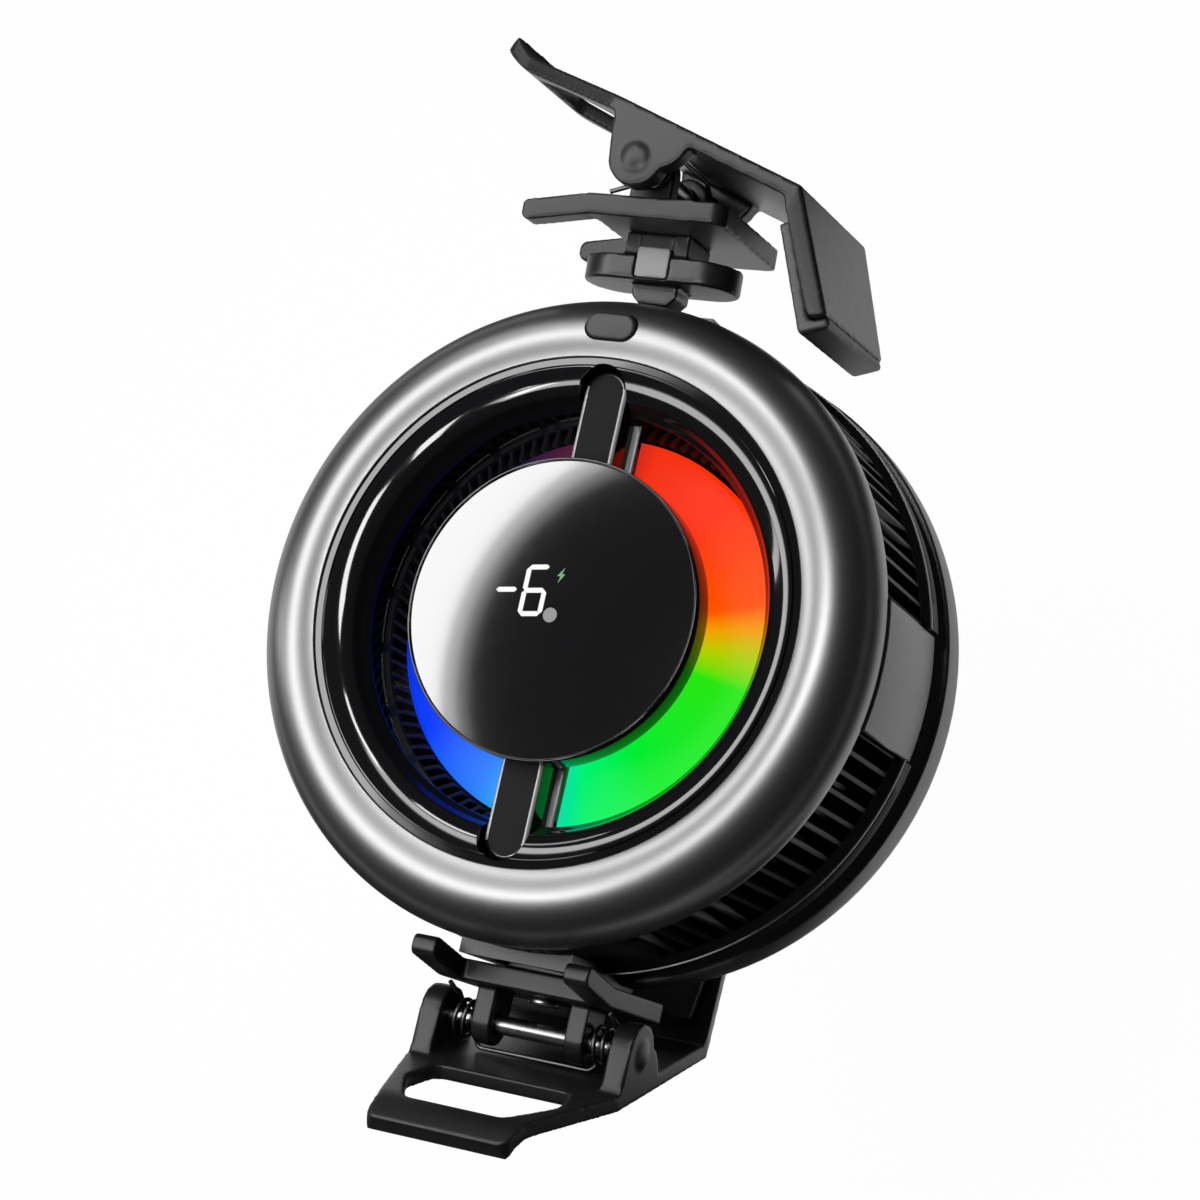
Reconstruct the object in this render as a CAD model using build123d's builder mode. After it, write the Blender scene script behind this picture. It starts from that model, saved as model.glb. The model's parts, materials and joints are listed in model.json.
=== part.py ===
# Phone cooling fan, in millimetres. A round cooler with a cold plate behind and a lit blower inlet in
# front, and two sprung clips: one seated at six o'clock, one taken off and floating above twelve o'clock.
# Frame: +X right, +Y up to twelve o'clock, +Z out of the display, origin on the face of the cold plate.

import os
from math import acos, asin, atan2, cos, degrees, dist, pi, radians, sin, sqrt

from build123d import *

os.makedirs("parts", exist_ok=True)

# Shared clearances
overrun = 3.0
seat_gap = 0.1
slide_gap = 0.2
turn_gap = 0.3
bore_gap = 0.05
press_gap = 0.01
edge_break = 0.3

# Round body, seen from the side: its radius drives the others
body_radius = 34.2
rim_rounding = 3.7
rear_level = 0.4
rim_level = 7.2
neck_inset = 1.6
neck_level = 9.6
cover_wall = 1.3
lip_inset = 0.5
lip_level = 12.6
lip_step_level = 13.2
wall_inset = 1.2
wall_thickness = 1.6
slot_rear_level = 13.5
slot_front_level = 25.0
wall_front_level = 25.2

# Cold side
cold_plate_inset = 13.2
cold_plate_thickness = 1.5
seal_inset = 8.7
seal_rear_level = 0.15
seal_thickness = 1.45
module_share = 0.7143
module_thickness = 3.3
module_plate = 0.8
module_inset = 1.0

# Heat sink and its fins
sink_thickness = 1.8
sink_fin_count = 60
sink_fin_thickness = 0.5
sink_fin_length = 4.5
sink_fin_clearance = 0.4
sink_free_angle = 15.0

# Blower
hub_share = 0.5164
hub_wall = 1.1
hub_top = 1.2
hub_rear_level = 8.2
hub_front_level = 16.5
back_plate_thickness = 0.8
blade_count = 100
blade_thickness = 0.4
blade_lean = 28.0
blade_inset = 0.4
shroud_lap = 1.7
shroud_clearance = 0.9
shroud_rear_level = 19.2
shroud_thickness = 1.0
shaft_radius = 0.75
shaft_rear_gap = 0.4
bearing_thickness = 0.8
tube_wall = 0.6
tube_front_level = 14.6
motor_plate_inset = 1.0
motor_plate_thickness = 1.0
magnet_thickness = 1.2
magnet_length = 5.0
stator_gap = 0.7
stator_length = 4.4
stator_poles = 6
pole_width = 1.8
pole_head = 1.0
pole_slot = 1.4

# Clip sockets, one at each end of the Y axis
socket_half_width = 6.2
socket_depth = 8.2
socket_rear_level = 1.6
socket_front_level = 20.4
socket_rounding = 2.0
pocket_depth = 7.3

# Bezel, a hollow round section bent into a ring
bezel_inset = 1.0
bezel_section = 5.03
bezel_level = 25.8
bezel_wall = 1.8
bezel_band = 7.15
bezel_rim_chamfer = 0.25

# Power button on the crest of the bezel
button_length = 5.5
button_width = 2.8
button_shift = 1.03
button_gap = 0.15
button_top_level = 31.15
button_edge_round = 0.4
button_travel = 0.4
button_flange_margin = 0.9
button_flange_thickness = 0.5
button_flange_level = 28.3
switch_width = 3.2
switch_body_level = 27.5
plunger_radius = 0.7

# Main board under the bezel, on the deck of the vent housing
deck_lap = 1.85
deck_level = 25.6
board_margin = 0.45
board_clearance = 0.6
board_thickness = 0.8

# Glossy inner ring, the mouth of the air inlet
mouth_top_level = 30.1
mouth_land = 0.85
mouth_groove = 0.25
mouth_width = 3.65
mouth_edge_level = 28.9
mouth_edge_round = 0.3
mouth_bulge = 0.22
mouth_step = 0.5
mouth_step_level = 27.8
throat_step = 1.1
throat_level = 26.9
duct_flare = 1.3
duct_level = 21.3
duct_wall = 1.2
mouth_wall = 1.25
mouth_cavity_level = 28.2

# Display drum, its column and the two bars that carry it across the inlet
drum_share = 0.7277
drum_edge = 0.3
drum_rear_level = 26.9
drum_floor = 0.7
drum_top_level = 30.4
lens_rear_level = 29.0
lens_edge_level = 30.2
lens_top_level = 30.6
display_margin = 2.0
display_board_thickness = 1.0
column_share = 0.5446
column_wall = 1.6
column_flange_width = 1.9
column_flange_level = 16.9
column_flange_thickness = 0.6
bar_half_width = 2.3
bar_level = 24.0
bar_top_level = 28.6
bar_flange_half_width = 3.0
bar_flange_thickness = 0.9
bar_root = 0.6
bar_foot_clearance = 0.4
bar_foot_level = 26.2
bar_bevel = 0.45

# Light ring under the inlet
guide_inset = 0.9
guide_level = 19.0
guide_thickness = 1.5
guide_round = 0.5
led_board_inset = 0.9
led_board_thickness = 0.8
led_count = 12
led_width = 2.0

# Slots in the side wall, in four mirrored groups
slot_count = 16
slot_pitch = 3.52
slot_first = 13.6
slot_fin_thickness = 0.45

# Smooth side panels at three and nine o'clock
panel_half_angle = 11.5
panel_proud = 0.4
panel_thickness = 1.1
panel_round = 0.35

# Charging inlet in the left panel
inlet_width = 8.94
inlet_height = 3.16
inlet_length = 6.4
inlet_wall = 0.3
inlet_tongue_width = 6.7
inlet_tongue_thickness = 0.7
inlet_tongue_length = 4.4
inlet_level = 17.4
inlet_setback = 0.2

# Rear cover screws, under the sealing ring
screw_count = 4
screw_inset = 1.9
screw_head_radius = 1.2
screw_head_height = 0.6
screw_shank_radius = 0.6
screw_shank_length = 3.8

# Clip base: flat plate with two prongs, and two knuckles for the pin
clip_level = 11.0
plate_seat_gap = 0.3
plate_thickness = 2.2
plate_half_width = 9.8
plate_rear_level = 2.0
crossbar_front_level = 16.6
prong_inner = 7.1
prong_front_level = 24.0
prong_lean = 1.3
plate_corner = 1.6
prong_corner = 0.8
knuckle_inner = 4.2
knuckle_outer = 6.3
knuckle_radius = 2.3
pin_radius = 1.0
pin_height = 3.5
pin_level = 11.6

# Clip foot, which plugs into the socket
neck_length = 15.6
neck_width = 6.8
neck_depth = 2.2
tongue_length = 17.0
tongue_width = 8.0
tongue_thickness = 2.6
tab_length = 5.0
tab_width = 4.0
tab_thickness = 2.2
tab_chamfer = 1.0
catch_length = 3.6
catch_depth = 0.7
catch_height = 3.2
catch_step = 1.2
clip_screw_head_radius = 1.6
clip_screw_head_height = 0.8
clip_screw_shank_radius = 0.8
clip_screw_shank_length = 5.0
drive_slot_width = 0.5
drive_slot_depth = 0.4

# Clip lever, in its own directions: along the arm towards the finger tip, and in towards the body
lever_angle = 20.5
lever_half_width = 12.0
arm_outer = 4.8
arm_thickness = 1.6
bend_back = 17.4
tip_reach = 20.6
tip_bow = 1.5
tip_bow_start = 16.4
tip_thickness = 1.7
arm_full_width_reach = 5.0
arm_taper_reach = 17.6
arm_taper_half_width = 8.8
tip_half_width = 7.9
tip_corner = 3.0
jaw_angle = 130.0
jaw_length = 13.2
jaw_thickness = 2.0
jaw_tip_half_width = 10.6
jaw_corner = 2.4
bend_outer_round = 2.2
bend_inner_round = 1.0
ear_inner = 9.6
ear_lobe_radius = 3.0
ear_front_reach = 5.0
ear_rear_reach = 4.6
ear_rear_hollow = 4.0
loop_near = 7.8
loop_far = 16.0
loop_knee = 12.0
loop_near_half_width = 5.8
loop_knee_half_width = 6.0
loop_far_half_width = 3.0
loop_corner = 0.9

# Rubber pad on the jaw
pad_start = 2.6
pad_thickness = 1.4
pad_end_wrap = 1.1
pad_side_margin = 0.6
pad_round = 0.4

# Pivot pin and double torsion spring
pin_head_radius = 1.5
pin_head_thickness = 0.5
spring_wire = 0.5
spring_radius = 1.85
spring_inner_x = 6.8
spring_outer_x = 9.05
spring_full_turns = 2
spring_quarters = 9
bridge_reach = 2.85
bridge_corner = 0.9
leg_length = 4.1
leg_angle = 200.0

# Where the clip that is taken off floats, from its seat in the upper socket
lift_up = 8.1
lift_forward = 7.73
lift_aside = -1.27
lift_turn_y = -87.25
lift_turn_x = 0.6
lift_turn_z = -5.34

# Radii of the shell, from the body radius inwards
neck_radius = body_radius - neck_inset
lip_radius = body_radius - lip_inset
wall_radius = body_radius - wall_inset
panel_radius = wall_radius + panel_proud
bezel_radius = body_radius - bezel_inset
bezel_inner_radius = bezel_radius - bezel_band
socket_inner_radius = body_radius - socket_depth
pocket_floor_radius = body_radius - pocket_depth
seal_outer_radius = body_radius - seal_inset
screw_circle_radius = seal_outer_radius - screw_inset
cold_plate_radius = body_radius - cold_plate_inset
module_width = module_share * 2 * cold_plate_radius
deck_inner_radius = bezel_inner_radius - deck_lap

# Radii of the air inlet and of what stands in it
mouth_groove_radius = bezel_inner_radius - mouth_land
mouth_wall_radius = bezel_inner_radius - mouth_wall
mouth_edge_radius = bezel_inner_radius - mouth_width
mouth_step_radius = mouth_edge_radius - mouth_step
throat_radius = mouth_edge_radius - throat_step
duct_radius = throat_radius + duct_flare
duct_outer_radius = duct_radius + duct_wall
drum_radius = drum_share * throat_radius
display_board_radius = drum_radius - display_margin
column_radius = column_share * throat_radius
column_flange_radius = column_radius + column_flange_width
bar_inner_radius = column_radius - bar_root
bar_end_radius = mouth_groove_radius
bar_foot_radius = throat_radius - bar_foot_clearance
guide_inner_radius = column_radius + slide_gap
guide_outer_radius = throat_radius - guide_inset
led_board_radius = guide_outer_radius - led_board_inset
led_circle_radius = (guide_inner_radius + led_board_radius) / 2

# Radii of the heat sink and of the blower inside it
sink_radius = neck_radius - cover_wall - turn_gap
sink_fin_inner_radius = sink_radius - sink_fin_length
shroud_outer_radius = sink_fin_inner_radius - shroud_clearance
blade_outer_radius = shroud_outer_radius - blade_inset
blade_inner_radius = guide_outer_radius + turn_gap
shroud_inner_radius = blade_inner_radius + shroud_lap
hub_radius = hub_share * throat_radius
motor_plate_radius = hub_radius - motor_plate_inset

# Levels and radii that follow from the driving dimensions
module_level = cold_plate_thickness
sink_level = module_level + module_thickness
sink_top_level = sink_level + sink_thickness
seal_seat_level = seal_rear_level + seal_thickness
seal_inner_radius = cold_plate_radius + turn_gap
cover_window_radius = cold_plate_radius + 2 * turn_gap
cover_ledge_radius = seal_outer_radius + wall_thickness
cover_inner_radius = neck_radius - cover_wall
wall_inner_radius = wall_radius - wall_thickness
bezel_centre_radius = bezel_radius - bezel_section
button_radius_at = bezel_centre_radius + button_shift
bezel_cavity = bezel_section - bezel_wall
panel_inner_radius = panel_radius - panel_thickness
board_inner_radius = bezel_inner_radius + board_margin
board_outer_radius = wall_inner_radius - board_clearance
face_radius = body_radius
plate_inner = face_radius + plate_seat_gap
plate_outer = plate_inner + plate_thickness
pin_out = plate_outer + pin_height
foot_top = plate_inner
neck_base = foot_top - neck_depth - plate_seat_gap
tongue_base = neck_base - tongue_thickness
hub_inner_radius = hub_radius - hub_wall
stator_radius = hub_inner_radius - magnet_thickness - stator_gap
bearing_bore = shaft_radius + bore_gap
bearing_radius = bearing_bore + bearing_thickness
tube_bore = bearing_radius + press_gap
tube_radius = tube_bore + tube_wall
motor_plate_level = sink_top_level + motor_plate_thickness
board_level = deck_level + seat_gap


def save(piece, name):
    """Label a finished piece with its own name and write it."""
    piece.label = name
    export_step(piece, f"parts/{name}.step")


def on_circle(centre, radius, turn):
    """Point of a circle in a sketch, at an angle in degrees."""
    return (centre[0] + radius * cos(radians(turn)), centre[1] + radius * sin(radians(turn)))


def ring_sector(inner, outer, centre, half):
    """Flat face between two radii, on both sides of an angle in degrees."""
    with BuildSketch() as sector:
        with BuildLine():
            Line(on_circle((0, 0), inner, centre - half), on_circle((0, 0), outer, centre - half))
            CenterArc((0, 0), outer, centre - half, 2 * half)
            Line(on_circle((0, 0), outer, centre + half), on_circle((0, 0), inner, centre + half))
            CenterArc((0, 0), inner, centre + half, -2 * half)
        make_face()
    return sector.sketch


# Cold plate, the polished disc that touches the phone
with BuildPart() as cold_plate:
    with BuildSketch():
        Circle(cold_plate_radius)
    extrude(amount=cold_plate_thickness)
    chamfer(cold_plate.edges().group_by(Axis.Z)[0], edge_break)
save(cold_plate.part, "cold_plate")

# Soft ring round the cold plate
with BuildPart() as silicone_ring:
    with BuildSketch(Plane.XY.offset(seal_rear_level)):
        Circle(seal_outer_radius)
        Circle(seal_inner_radius, mode=Mode.SUBTRACT)
    extrude(amount=seal_thickness)
    fillet(silicone_ring.edges().group_by(Axis.Z)[0], edge_break)
save(silicone_ring.part, "silicone_ring")

# Thermoelectric module: two ceramic plates on a narrower core of pellets
with BuildPart() as peltier_module:
    with BuildSketch(Plane.XY.offset(module_level)):
        Rectangle(module_width, module_width)
    extrude(amount=module_plate)
    with BuildSketch(Plane.XY.offset(module_level)):
        Rectangle(module_width - 2 * module_inset, module_width - 2 * module_inset)
    extrude(amount=module_thickness)
    with BuildSketch(Plane.XY.offset(sink_level - module_plate)):
        Rectangle(module_width, module_width)
    extrude(amount=module_plate)
save(peltier_module.part, "peltier_module")

# Rear cover: rounded rim, ledge that carries the heat sink and the sealing ring, and a neck
with BuildPart() as rear_cover:
    with BuildSketch(Plane.XZ):
        with BuildLine():
            rounding_radius = body_radius - rim_rounding
            rounding_level = rear_level + rim_rounding
            Line((seal_outer_radius + seat_gap, rear_level), (rounding_radius, rear_level))
            CenterArc((rounding_radius, rounding_level), rim_rounding, -90, 90)
            Polyline(
                (body_radius, rounding_level),
                (body_radius, rim_level),
                (neck_radius, rim_level),
                (neck_radius, neck_level),
                (cover_inner_radius, neck_level),
                (cover_inner_radius, rounding_level),
                (rounding_radius, seal_seat_level + edge_break),
                (cover_ledge_radius, seal_seat_level + edge_break),
                (cover_ledge_radius, sink_level),
                (cover_window_radius, sink_level),
                (cover_window_radius, seal_seat_level),
                (seal_outer_radius + seat_gap, seal_seat_level),
                (seal_outer_radius + seat_gap, rear_level),
            )
        make_face()
    revolve(axis=Axis.Z)
    rim_edges = rear_cover.edges().filter_by(GeomType.CIRCLE).group_by(SortBy.RADIUS)[-1]
    fillet(rim_edges.group_by(Axis.Z)[-1], edge_break)
    socket_box_length = body_radius + overrun - socket_inner_radius
    with BuildSketch(Plane.XY.offset(socket_rear_level)):
        with PolarLocations(socket_inner_radius + socket_box_length / 2 - seat_gap, 2, start_angle=90):
            Rectangle(socket_box_length, 2 * (socket_half_width + seat_gap))
    extrude(amount=neck_level, mode=Mode.SUBTRACT)
    with BuildSketch(Plane.XY.offset(seal_seat_level)):
        with PolarLocations(screw_circle_radius, screw_count, start_angle=45):
            Circle(screw_head_radius + seat_gap)
    extrude(amount=screw_head_height + seat_gap, mode=Mode.SUBTRACT)
    with BuildSketch(Plane.XY.offset(seal_seat_level)):
        with PolarLocations(screw_circle_radius, screw_count, start_angle=45):
            Circle(screw_shank_radius + seat_gap)
    extrude(amount=sink_level, mode=Mode.SUBTRACT)
save(rear_cover.part, "rear_cover")

# Screws that hold the rear cover to the heat sink, hidden by the sealing ring
screw_head_level = seal_seat_level + seat_gap
with BuildPart() as rear_screws:
    with BuildSketch(Plane.XY.offset(screw_head_level)):
        with PolarLocations(screw_circle_radius, screw_count, start_angle=45):
            Circle(screw_head_radius)
    extrude(amount=screw_head_height)
    with BuildSketch(Plane.XY.offset(screw_head_level)):
        with PolarLocations(screw_circle_radius, screw_count, start_angle=45):
            Circle(screw_shank_radius)
    extrude(amount=screw_head_height + screw_shank_length)
save(rear_screws.part, "rear_screws")

# Heat sink: a disc with thin radial fins all round, open where sockets and inlet sit
fin_reach = sink_radius - sink_fin_inner_radius
fin_height = slot_front_level - sink_fin_clearance - sink_top_level
fin_step = 360 / sink_fin_count
fin_turns = [fin_step * (k + 1 / 2) for k in range(sink_fin_count)]
fin_turns = [turn for turn in fin_turns if min(abs(turn - stop) for stop in (90, 180, 270)) > sink_free_angle]
fin_places = [Location(on_circle((0, 0), sink_radius - fin_reach / 2, turn), turn) for turn in fin_turns]
with BuildPart() as heat_sink:
    with BuildSketch(Plane.XY.offset(sink_level)):
        Circle(sink_radius)
        with PolarLocations(socket_inner_radius + socket_box_length / 2 - seat_gap, 2, start_angle=90):
            Rectangle(socket_box_length, 2 * (socket_half_width + seat_gap), mode=Mode.SUBTRACT)
        with PolarLocations(screw_circle_radius, screw_count, start_angle=45):
            Circle(screw_shank_radius + press_gap, mode=Mode.SUBTRACT)
    extrude(amount=sink_thickness)
    with BuildSketch(Plane.XY.offset(sink_top_level)):
        with Locations(*fin_places):
            Rectangle(fin_reach - edge_break, sink_fin_thickness)
    extrude(amount=fin_height)
save(heat_sink.part, "heat_sink")

# Motor plate with the tube that holds the bearing
with BuildPart() as fan_base:
    with BuildSketch(Plane.XY.offset(sink_top_level)):
        Circle(motor_plate_radius)
    extrude(amount=motor_plate_thickness)
    with BuildSketch(Plane.XY.offset(motor_plate_level)):
        Circle(tube_radius)
        Circle(tube_bore, mode=Mode.SUBTRACT)
    extrude(amount=tube_front_level - motor_plate_level)
save(fan_base.part, "fan_base")

with BuildPart() as fan_bearing:
    with BuildSketch(Plane.XY.offset(motor_plate_level)):
        Circle(bearing_radius)
        Circle(bearing_bore, mode=Mode.SUBTRACT)
    extrude(amount=tube_front_level - motor_plate_level)
save(fan_bearing.part, "fan_bearing")

# Stator: a hub with short arms that end in wide pole heads
with BuildPart() as fan_stator:
    with BuildSketch(Plane.XY.offset(motor_plate_level)):
        Circle(stator_radius)
        Circle(stator_radius - pole_head, mode=Mode.SUBTRACT)
        with PolarLocations(stator_radius - pole_head / 2, stator_poles, start_angle=180 / stator_poles):
            Rectangle(2 * pole_head, pole_slot, mode=Mode.SUBTRACT)
        Circle(tube_radius + bearing_thickness)
        with PolarLocations(stator_radius / 2, stator_poles):
            Rectangle(stator_radius - pole_head / 2, pole_width)
        Circle(tube_radius + press_gap, mode=Mode.SUBTRACT)
    extrude(amount=stator_length)
save(fan_stator.part, "fan_stator")

# Impeller: hub cup, back plate, a ring of thin leaning blades and the shroud over their ends
blade_reach = blade_outer_radius - blade_inner_radius
shaft_boss_radius = 2 * shaft_radius + bore_gap
with BuildPart() as fan_impeller:
    with BuildSketch(Plane.XZ):
        with BuildLine():
            Polyline(
                (shaft_radius + press_gap, hub_front_level),
                (hub_radius, hub_front_level),
                (hub_radius, hub_rear_level + back_plate_thickness),
                (blade_outer_radius, hub_rear_level + back_plate_thickness),
                (blade_outer_radius, hub_rear_level),
                (hub_inner_radius, hub_rear_level),
                (hub_inner_radius, hub_front_level - hub_top),
                (shaft_boss_radius, hub_front_level - hub_top),
                (shaft_boss_radius, tube_front_level + turn_gap),
                (shaft_radius + press_gap, tube_front_level + turn_gap),
                close=True,
            )
        make_face()
    revolve(axis=Axis.Z)
    fillet(fan_impeller.edges().group_by(Axis.Z)[-1].sort_by(SortBy.RADIUS)[-1], hub_top / 2)
    with BuildSketch(Plane.XY.offset(hub_rear_level + back_plate_thickness / 2)):
        with PolarLocations(blade_inner_radius, blade_count):
            with Locations(Location((blade_reach / 2, 0), -blade_lean)):
                Rectangle(blade_reach / cos(radians(blade_lean)) - blade_thickness, blade_thickness)
    extrude(amount=shroud_rear_level + shroud_thickness / 2 - hub_rear_level - back_plate_thickness / 2)
    with BuildSketch(Plane.XY.offset(shroud_rear_level)):
        Circle(shroud_outer_radius)
        Circle(shroud_inner_radius, mode=Mode.SUBTRACT)
    extrude(amount=shroud_thickness)
save(fan_impeller.part, "fan_impeller")

with BuildPart() as fan_magnet:
    with BuildSketch(Plane.XY.offset(hub_rear_level)):
        Circle(hub_inner_radius - press_gap)
        Circle(hub_inner_radius - press_gap - magnet_thickness, mode=Mode.SUBTRACT)
    extrude(amount=magnet_length)
save(fan_magnet.part, "fan_magnet")

with BuildPart() as fan_shaft:
    with BuildSketch(Plane.XY.offset(motor_plate_level + shaft_rear_gap)):
        Circle(shaft_radius)
    extrude(amount=hub_front_level - motor_plate_level - shaft_rear_gap)
    chamfer(fan_shaft.edges().group_by(Axis.Z)[0], edge_break)
save(fan_shaft.part, "fan_shaft")

# Vent housing: lip, slotted side wall and the deck that carries the main board
slot_width = radians(slot_pitch) * wall_radius - slot_fin_thickness
slot_cut = wall_thickness + 2 * edge_break
slot_turns = [slot_first + slot_pitch * k for k in range(slot_count)]
slot_turns = [start for turn in slot_turns for start in (turn, 180 - turn, 180 + turn, 360 - turn)]
slot_middle_radius = wall_radius - wall_thickness / 2
slot_places = [Location(on_circle((0, 0), slot_middle_radius, turn), turn) for turn in slot_turns]
with BuildPart() as vent_housing:
    with BuildSketch(Plane.XZ):
        with BuildLine():
            Polyline(
                (wall_inner_radius, neck_level),
                (lip_radius, neck_level),
                (lip_radius, lip_level),
                (wall_radius, lip_step_level),
                (wall_radius, wall_front_level),
                (wall_inner_radius - seat_gap, wall_front_level),
                (wall_inner_radius - seat_gap, deck_level),
                (deck_inner_radius, deck_level),
                (deck_inner_radius, slot_front_level),
                (wall_inner_radius, slot_front_level),
                close=True,
            )
        make_face()
    revolve(axis=Axis.Z)
    with BuildSketch(Plane.XY.offset(slot_rear_level)):
        with Locations(*slot_places):
            Rectangle(slot_cut, slot_width)
    extrude(amount=slot_front_level - slot_rear_level, mode=Mode.SUBTRACT)
    with BuildSketch(Plane.XY.offset(neck_level)):
        with PolarLocations(socket_inner_radius + socket_box_length / 2 - seat_gap, 2, start_angle=90):
            Rectangle(socket_box_length, 2 * (socket_half_width + seat_gap))
    extrude(amount=socket_front_level - neck_level, mode=Mode.SUBTRACT)
    for centre in (0, 180):
        with BuildSketch(Plane.XY.offset(neck_level)):
            half = panel_half_angle + degrees(seat_gap / wall_radius)
            add(ring_sector(panel_inner_radius - press_gap, body_radius, centre, half))
        extrude(amount=wall_front_level - neck_level, mode=Mode.SUBTRACT)
    with BuildSketch(Plane.YZ.offset(-body_radius)):
        with Locations((0, inlet_level)):
            SlotOverall(inlet_width + 2 * seat_gap, inlet_height + 2 * seat_gap)
    extrude(amount=body_radius - wall_inner_radius + wall_thickness, mode=Mode.SUBTRACT)
save(vent_housing.part, "vent_housing")


def side_panel(centre):
    """Smooth curved panel in the side wall, at an angle in degrees."""
    with BuildPart() as panel:
        with BuildSketch(Plane.XY.offset(neck_level)):
            add(ring_sector(panel_inner_radius, panel_radius, centre, panel_half_angle))
        extrude(amount=wall_front_level - neck_level)
        outer_face = panel.faces().filter_by(GeomType.CYLINDER).sort_by(SortBy.AREA)[-1]
        fillet(outer_face.edges(), panel_round)
    return panel.part


save(side_panel(0), "side_panel_right")

with BuildPart() as side_panel_left:
    add(side_panel(180))
    with BuildSketch(Plane.YZ.offset(-body_radius)):
        with Locations((0, inlet_level)):
            SlotOverall(inlet_width + 2 * seat_gap, inlet_height + 2 * seat_gap)
    extrude(amount=inlet_length, mode=Mode.SUBTRACT)
save(side_panel_left.part, "side_panel_left")

# Charging inlet: a folded metal shell with its contact tongue
with BuildPart() as usb_port:
    with BuildSketch(Plane.YZ.offset(inlet_setback - panel_radius)):
        with Locations((0, inlet_level)):
            SlotOverall(inlet_width, inlet_height)
    extrude(amount=inlet_length)
    with BuildSketch(Plane.YZ.offset(inlet_setback - panel_radius)):
        with Locations((0, inlet_level)):
            SlotOverall(inlet_width - 2 * inlet_wall, inlet_height - 2 * inlet_wall)
    extrude(amount=inlet_length - inlet_wall, mode=Mode.SUBTRACT)
    with BuildSketch(Plane.YZ.offset(inlet_setback - panel_radius + inlet_length - inlet_wall)):
        with Locations((0, inlet_level)):
            Rectangle(inlet_tongue_width, inlet_tongue_thickness)
    extrude(amount=-inlet_tongue_length)
save(usb_port.part, "usb_port")

# Main board: a flat ring with the controller beside the switch
with BuildPart() as main_board:
    with BuildSketch(Plane.XY.offset(board_level)):
        Circle(board_outer_radius)
        Circle(board_inner_radius, mode=Mode.SUBTRACT)
    extrude(amount=board_thickness)
    with BuildSketch(Plane.XY.offset(board_level + board_thickness)):
        with PolarLocations((board_inner_radius + board_outer_radius) / 2, 3, start_angle=30):
            Rectangle(switch_width, switch_width)
    extrude(amount=board_thickness)
save(main_board.part, "main_board")

with BuildPart() as button_switch:
    with BuildSketch(Plane.XY.offset(board_level + board_thickness)):
        with Locations((0, button_radius_at)):
            Rectangle(switch_width, button_width)
    extrude(amount=switch_body_level - board_level - board_thickness)
    with BuildSketch(Plane.XY.offset(switch_body_level)):
        with Locations((0, button_radius_at)):
            Circle(plunger_radius)
    extrude(amount=button_flange_level - button_travel - bore_gap - switch_body_level)
save(button_switch.part, "button_switch")

# Front bezel: fat hollow ring with the hole and the shallow pocket of the power button
bezel_centre = (bezel_centre_radius, bezel_level)
bezel_drop = wall_front_level - bezel_level
outer_start = degrees(asin(bezel_drop / bezel_section))
outer_end = degrees(acos((bezel_inner_radius - bezel_centre_radius) / bezel_section))
cavity_start = degrees(asin(bezel_drop / bezel_cavity))
cavity_end = degrees(acos((bezel_inner_radius - bezel_centre_radius) / bezel_cavity))
with BuildPart() as front_bezel:
    with BuildSketch(Plane.XZ):
        with BuildLine():
            CenterArc(bezel_centre, bezel_section, outer_start, outer_end - outer_start)
            Line(
                on_circle(bezel_centre, bezel_section, outer_end),
                on_circle(bezel_centre, bezel_cavity, cavity_end),
            )
            CenterArc(bezel_centre, bezel_cavity, cavity_end, cavity_start - cavity_end)
            Line(
                on_circle(bezel_centre, bezel_cavity, cavity_start),
                on_circle(bezel_centre, bezel_section, outer_start),
            )
        make_face()
    revolve(axis=Axis.Z)
    chamfer(front_bezel.edges().group_by(Axis.Z)[0].sort_by(SortBy.RADIUS)[-1], bezel_rim_chamfer)
    with BuildSketch(Plane.XY.offset(board_level)):
        with Locations((0, button_radius_at)):
            Rectangle(
                button_length + 2 * (button_flange_margin + turn_gap),
                button_width + button_flange_margin + turn_gap,
            )
    extrude(amount=button_flange_level + button_flange_thickness + seat_gap - board_level, mode=Mode.SUBTRACT)
    with BuildSketch(Plane.XY.offset(board_level)):
        with Locations((0, button_radius_at)):
            SlotOverall(button_length + 2 * button_gap, button_width + 2 * button_gap)
    extrude(amount=bezel_section + overrun, mode=Mode.SUBTRACT)
save(front_bezel.part, "front_bezel")

# Power button: pill with a soft top edge, and a flange that stops it under the bezel
with BuildPart() as power_button:
    with BuildSketch(Plane.XY.offset(button_flange_level)):
        with Locations((0, button_radius_at)):
            SlotOverall(button_length, button_width)
    extrude(amount=button_top_level - button_flange_level)
    fillet(power_button.edges().group_by(Axis.Z)[-1], button_edge_round)
    with BuildSketch(Plane.XY.offset(button_flange_level)):
        with Locations((0, button_radius_at)):
            Rectangle(button_length + 2 * button_flange_margin, button_width + button_flange_margin)
    extrude(amount=button_flange_thickness)
save(power_button.part, "power_button")

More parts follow.
